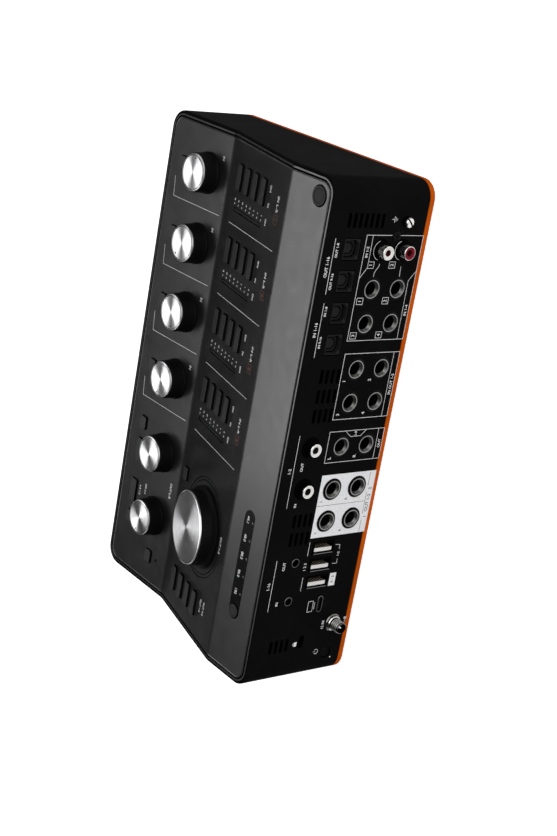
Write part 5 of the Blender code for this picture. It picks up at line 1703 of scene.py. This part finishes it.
def add_lamp_dot(bm, radius, place):
    """Add a small raised lamp dot."""
    profile = [(radius, 0), (radius, PRINT_RISE), (radius - LAMP_DOT_SOFT, PRINT_RISE * 1.5)]
    add_turned(bm, profile, RING_SIDES // 3, place)


def add_channel_print(white, copper, dark, index):
    """Add one channel's lines, meter scale, lamp labels and title."""
    middle = channel_x(index)
    x = middle + CHANNEL_PITCH / 2
    across, down = DECK_LINE_HOOK
    corner = (x, DECK_LINE_FRONT)
    hook = [(x - across, DECK_LINE_FRONT - down), corner, (x, DECK_DEPTH - DECK_LINE_END)]
    add_line(white, hook, FINE_LINE, deck_place(0, 0))
    add_line(white, [(x, up) for up in SLOPE_LINE], LINE_WIDTH, slope_place(0, 0))
    for k, label in enumerate(METER_NUMBERS):
        up = METER_LOW + k * METER_STEP
        add_text(white, label, METER_NUMERAL_SIZE, slope_place(middle + NUMBER_OFFSET, up))
        add_box(white, *TICK_SIZE, 0, PRINT_RISE, slope_place(middle + TICK_OFFSET, up))
    for word, offset in LAMP_WORDS:
        add_text(white, word, LAMP_WORD_SIZE, slope_place(middle + offset, LAMP_WORD_UP))
        add_lamp_dot(dark, LAMP_DOT_RADIUS, slope_place(middle + offset + LAMP_DOT_SHIFT, LAMP_DOT_UP))
    add_text(white, "IN L-R", TITLE_WORD_SIZE, slope_place(middle + TITLE_OFFSET, TITLE_UP))
    title = slope_place(middle + TITLE_BOX_OFFSET, TITLE_UP)
    add_text(copper, str(index + 1), TITLE_NUMERAL_SIZE, title)
    half_w, half_h = TITLE_BOX_HALF
    box = [(-half_w, -half_h), (-half_w, half_h), (half_w, half_h), (half_w, -half_h)]
    add_line(copper, box, FINE_LINE, title, closed=True)
    add_text(white, "IN", TOP_WORD_SIZE, deck_place(middle + DECK_WORD_OFFSET, DECK_WORD_BACK))


def build_top_print():
    """Make the channel lines, meter scales, lamp labels and titles on the top."""
    white, copper, dark = [bmesh.new() for _ in range(3)]
    for i in range(CHANNELS):
        add_channel_print(white, copper, dark, i)
    for word, x, back, size in DECK_WORDS:
        add_text(white, word, size, deck_place(x, back))
    for word, x, up, size in SLOPE_WORDS:
        add_text(white, word, size, slope_place(x, up))
    for k, word in enumerate(WINDOW_WORDS):
        x = WINDOW_WORD_X + k * WINDOW_PITCH
        add_text(white, word, TOP_WORD_SIZE, strip_place(x, WINDOW_WORD_BACK))
        add_lamp_dot(dark, WINDOW_DOT_RADIUS, strip_place(x + WINDOW_DOT_SHIFT, WINDOW_DOT_BACK))
    piece("top_print", white, [PRINT_WHITE])
    piece("title_boxes", copper, [PRINT_COPPER])
    piece("lamp_dots", dark, [LENS_SATIN])


# Carried-over solids


def dress_boards():
    """Give the inner boards that stay as solids their finish."""
    for node in ("deck_board", "slope_board", "strip_board", "main_board"):
        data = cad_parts[node].data
        data.materials.clear()
        data.materials.append(CARD)


# Stage

CAMERA_PLACE = Vector((-255.01, 636.63, 548.89))
CAMERA_TURN = math.radians(23.15)
CAMERA_ELEVATION = math.radians(37.96)
CAMERA_ROLL = math.radians(94.46)
FOCAL_PIXELS = 1626.3
IMAGE_HEIGHT = 836
SENSOR = 36.0
CLIP_START = 0.01
FLOOR_SIZE = 80000.0
FLOOR_THICKNESS = 10.0
FLOOR_TONE = 0.86
FLOOR_DRIFT = 0.01 / FLOOR_TONE
FLOOR_GLOW = 0.72
SEEN_RAYS = ("Is Camera Ray", "Is Glossy Ray", "Is Transmission Ray")

# Name, place, aim, width, height and power of each lamp
LAMPS = (
    ("strip_softbox", (-5, -440, 530), (-40, 60, 65), 560, 140, 1.2),
    ("cap_softbox", (110, -330, 575), (0, -40, 55), 640, 140, 0.6),
    ("phones_softbox", (310, -310, 575), (70, -40, 55), 300, 130, 0.42),
    ("rear_fill", (-500, 900, 700), (0, 60, 40), 1500, 1200, 15.5),
)


def build_camera():
    """Set the camera at the photograph's place, rolled as the photograph is."""
    flat = math.cos(CAMERA_ELEVATION)
    view = Vector((math.sin(CAMERA_TURN) * flat, -math.cos(CAMERA_TURN) * flat, -math.sin(CAMERA_ELEVATION)))
    level = view.cross(Vector((0, 0, 1))).normalized()
    upright = level.cross(view)
    up = level * math.sin(CAMERA_ROLL) + upright * math.cos(CAMERA_ROLL)
    right = view.cross(up)
    data = bpy.data.cameras.new("camera")
    data.sensor_fit = "VERTICAL"
    data.sensor_height = SENSOR
    data.lens = FOCAL_PIXELS * SENSOR / IMAGE_HEIGHT
    data.clip_start = CLIP_START
    camera = bpy.data.objects.new("camera", data)
    bpy.context.collection.objects.link(camera)
    turn = Matrix((right, up, -view)).transposed().to_4x4()
    camera.matrix_world = Matrix.Translation(CAMERA_PLACE * MM) @ turn
    bpy.context.scene.camera = camera


def add_lamp(name, place, aim, width, height, power):
    """Add a soft rectangular lamp that shines from a place at a point."""
    data = bpy.data.lights.new(name, "AREA")
    data.shape = "RECTANGLE"
    data.size = width * MM
    data.size_y = height * MM
    data.energy = power
    lamp = bpy.data.objects.new(name, data)
    bpy.context.collection.objects.link(lamp)
    turn = (Vector(aim) - Vector(place)).to_track_quat("-Z", "Y").to_matrix().to_4x4()
    lamp.matrix_world = Matrix.Translation(Vector(place) * MM) @ turn
    lamp.visible_camera = False


def floor_material():
    """Make white paper that takes shadows, with a glow that only the eye and mirrors see."""
    colour = (FLOOR_TONE, FLOOR_TONE, FLOOR_TONE)
    material = new_material("floor_paper", colour, 0.9, specular=0.1)
    vary_colour(material, colour, FLOOR_DRIFT, scale=4)
    path = add_node(material, "ShaderNodeLightPath")
    seen = path.outputs[SEEN_RAYS[0]]
    for ray in SEEN_RAYS[1:]:
        either = add_node(material, "ShaderNodeMath")
        either.operation = "MAXIMUM"
        join(material, seen, either, 0)
        join(material, path.outputs[ray], either, 1)
        seen = either.outputs[0]
    glow = add_node(material, "ShaderNodeMath")
    glow.operation = "MULTIPLY"
    glow.inputs[1].default_value = FLOOR_GLOW
    join(material, seen, glow, 0)
    shader = shader_of(material)
    shader.inputs["Emission Color"].default_value = (1.0, 1.0, 1.0, 1.0)
    join(material, glow.outputs[0], shader, "Emission Strength")
    return material


def build_sky():
    """Make a sky that is dim near the horizon and brighter overhead."""
    world = bpy.data.worlds.new("sky")
    bpy.context.scene.world = world
    world.use_nodes = True
    where = add_node(world, "ShaderNodeTexCoord")
    split = add_node(world, "ShaderNodeSeparateXYZ")
    span = add_node(world, "ShaderNodeMapRange", From_Min=0.1, From_Max=0.75, To_Min=0.05, To_Max=0.6)
    join(world, where.outputs["Generated"], split, "Vector")
    join(world, split.outputs["Z"], span, "Value")
    join(world, span.outputs["Result"], world.node_tree.nodes["Background"], "Strength")


def build_stage():
    """Make the white floor, the soft sky and the lamps."""
    floor = new_object("floor", fresh(add_box, FLOOR_SIZE, FLOOR_SIZE, -FLOOR_THICKNESS, 0))
    floor.data.materials.append(floor_material())
    build_sky()
    for lamp in LAMPS:
        add_lamp(*lamp)


def main():
    """Build the dressed part and its stage."""
    build_shell()
    build_plate()
    build_inlays()
    build_base()
    build_knobs()
    build_bar_buttons()
    build_round_buttons()
    build_power_button()
    build_rear_jacks()
    build_optical()
    build_coax()
    build_phono_highlights()
    build_minis()
    build_hub_sockets()
    build_computer_socket()
    build_power_inlet()
    build_ground_post()
    build_screw()
    build_inputs()
    build_phones_jacks()
    build_rear_print()
    build_speaker_field()
    build_top_print()
    dress_boards()
    for thing in DRESSED:
        settle_normals(thing)
    build_camera()
    build_stage()
    bpy.context.scene.view_settings.view_transform = "Standard"


main()
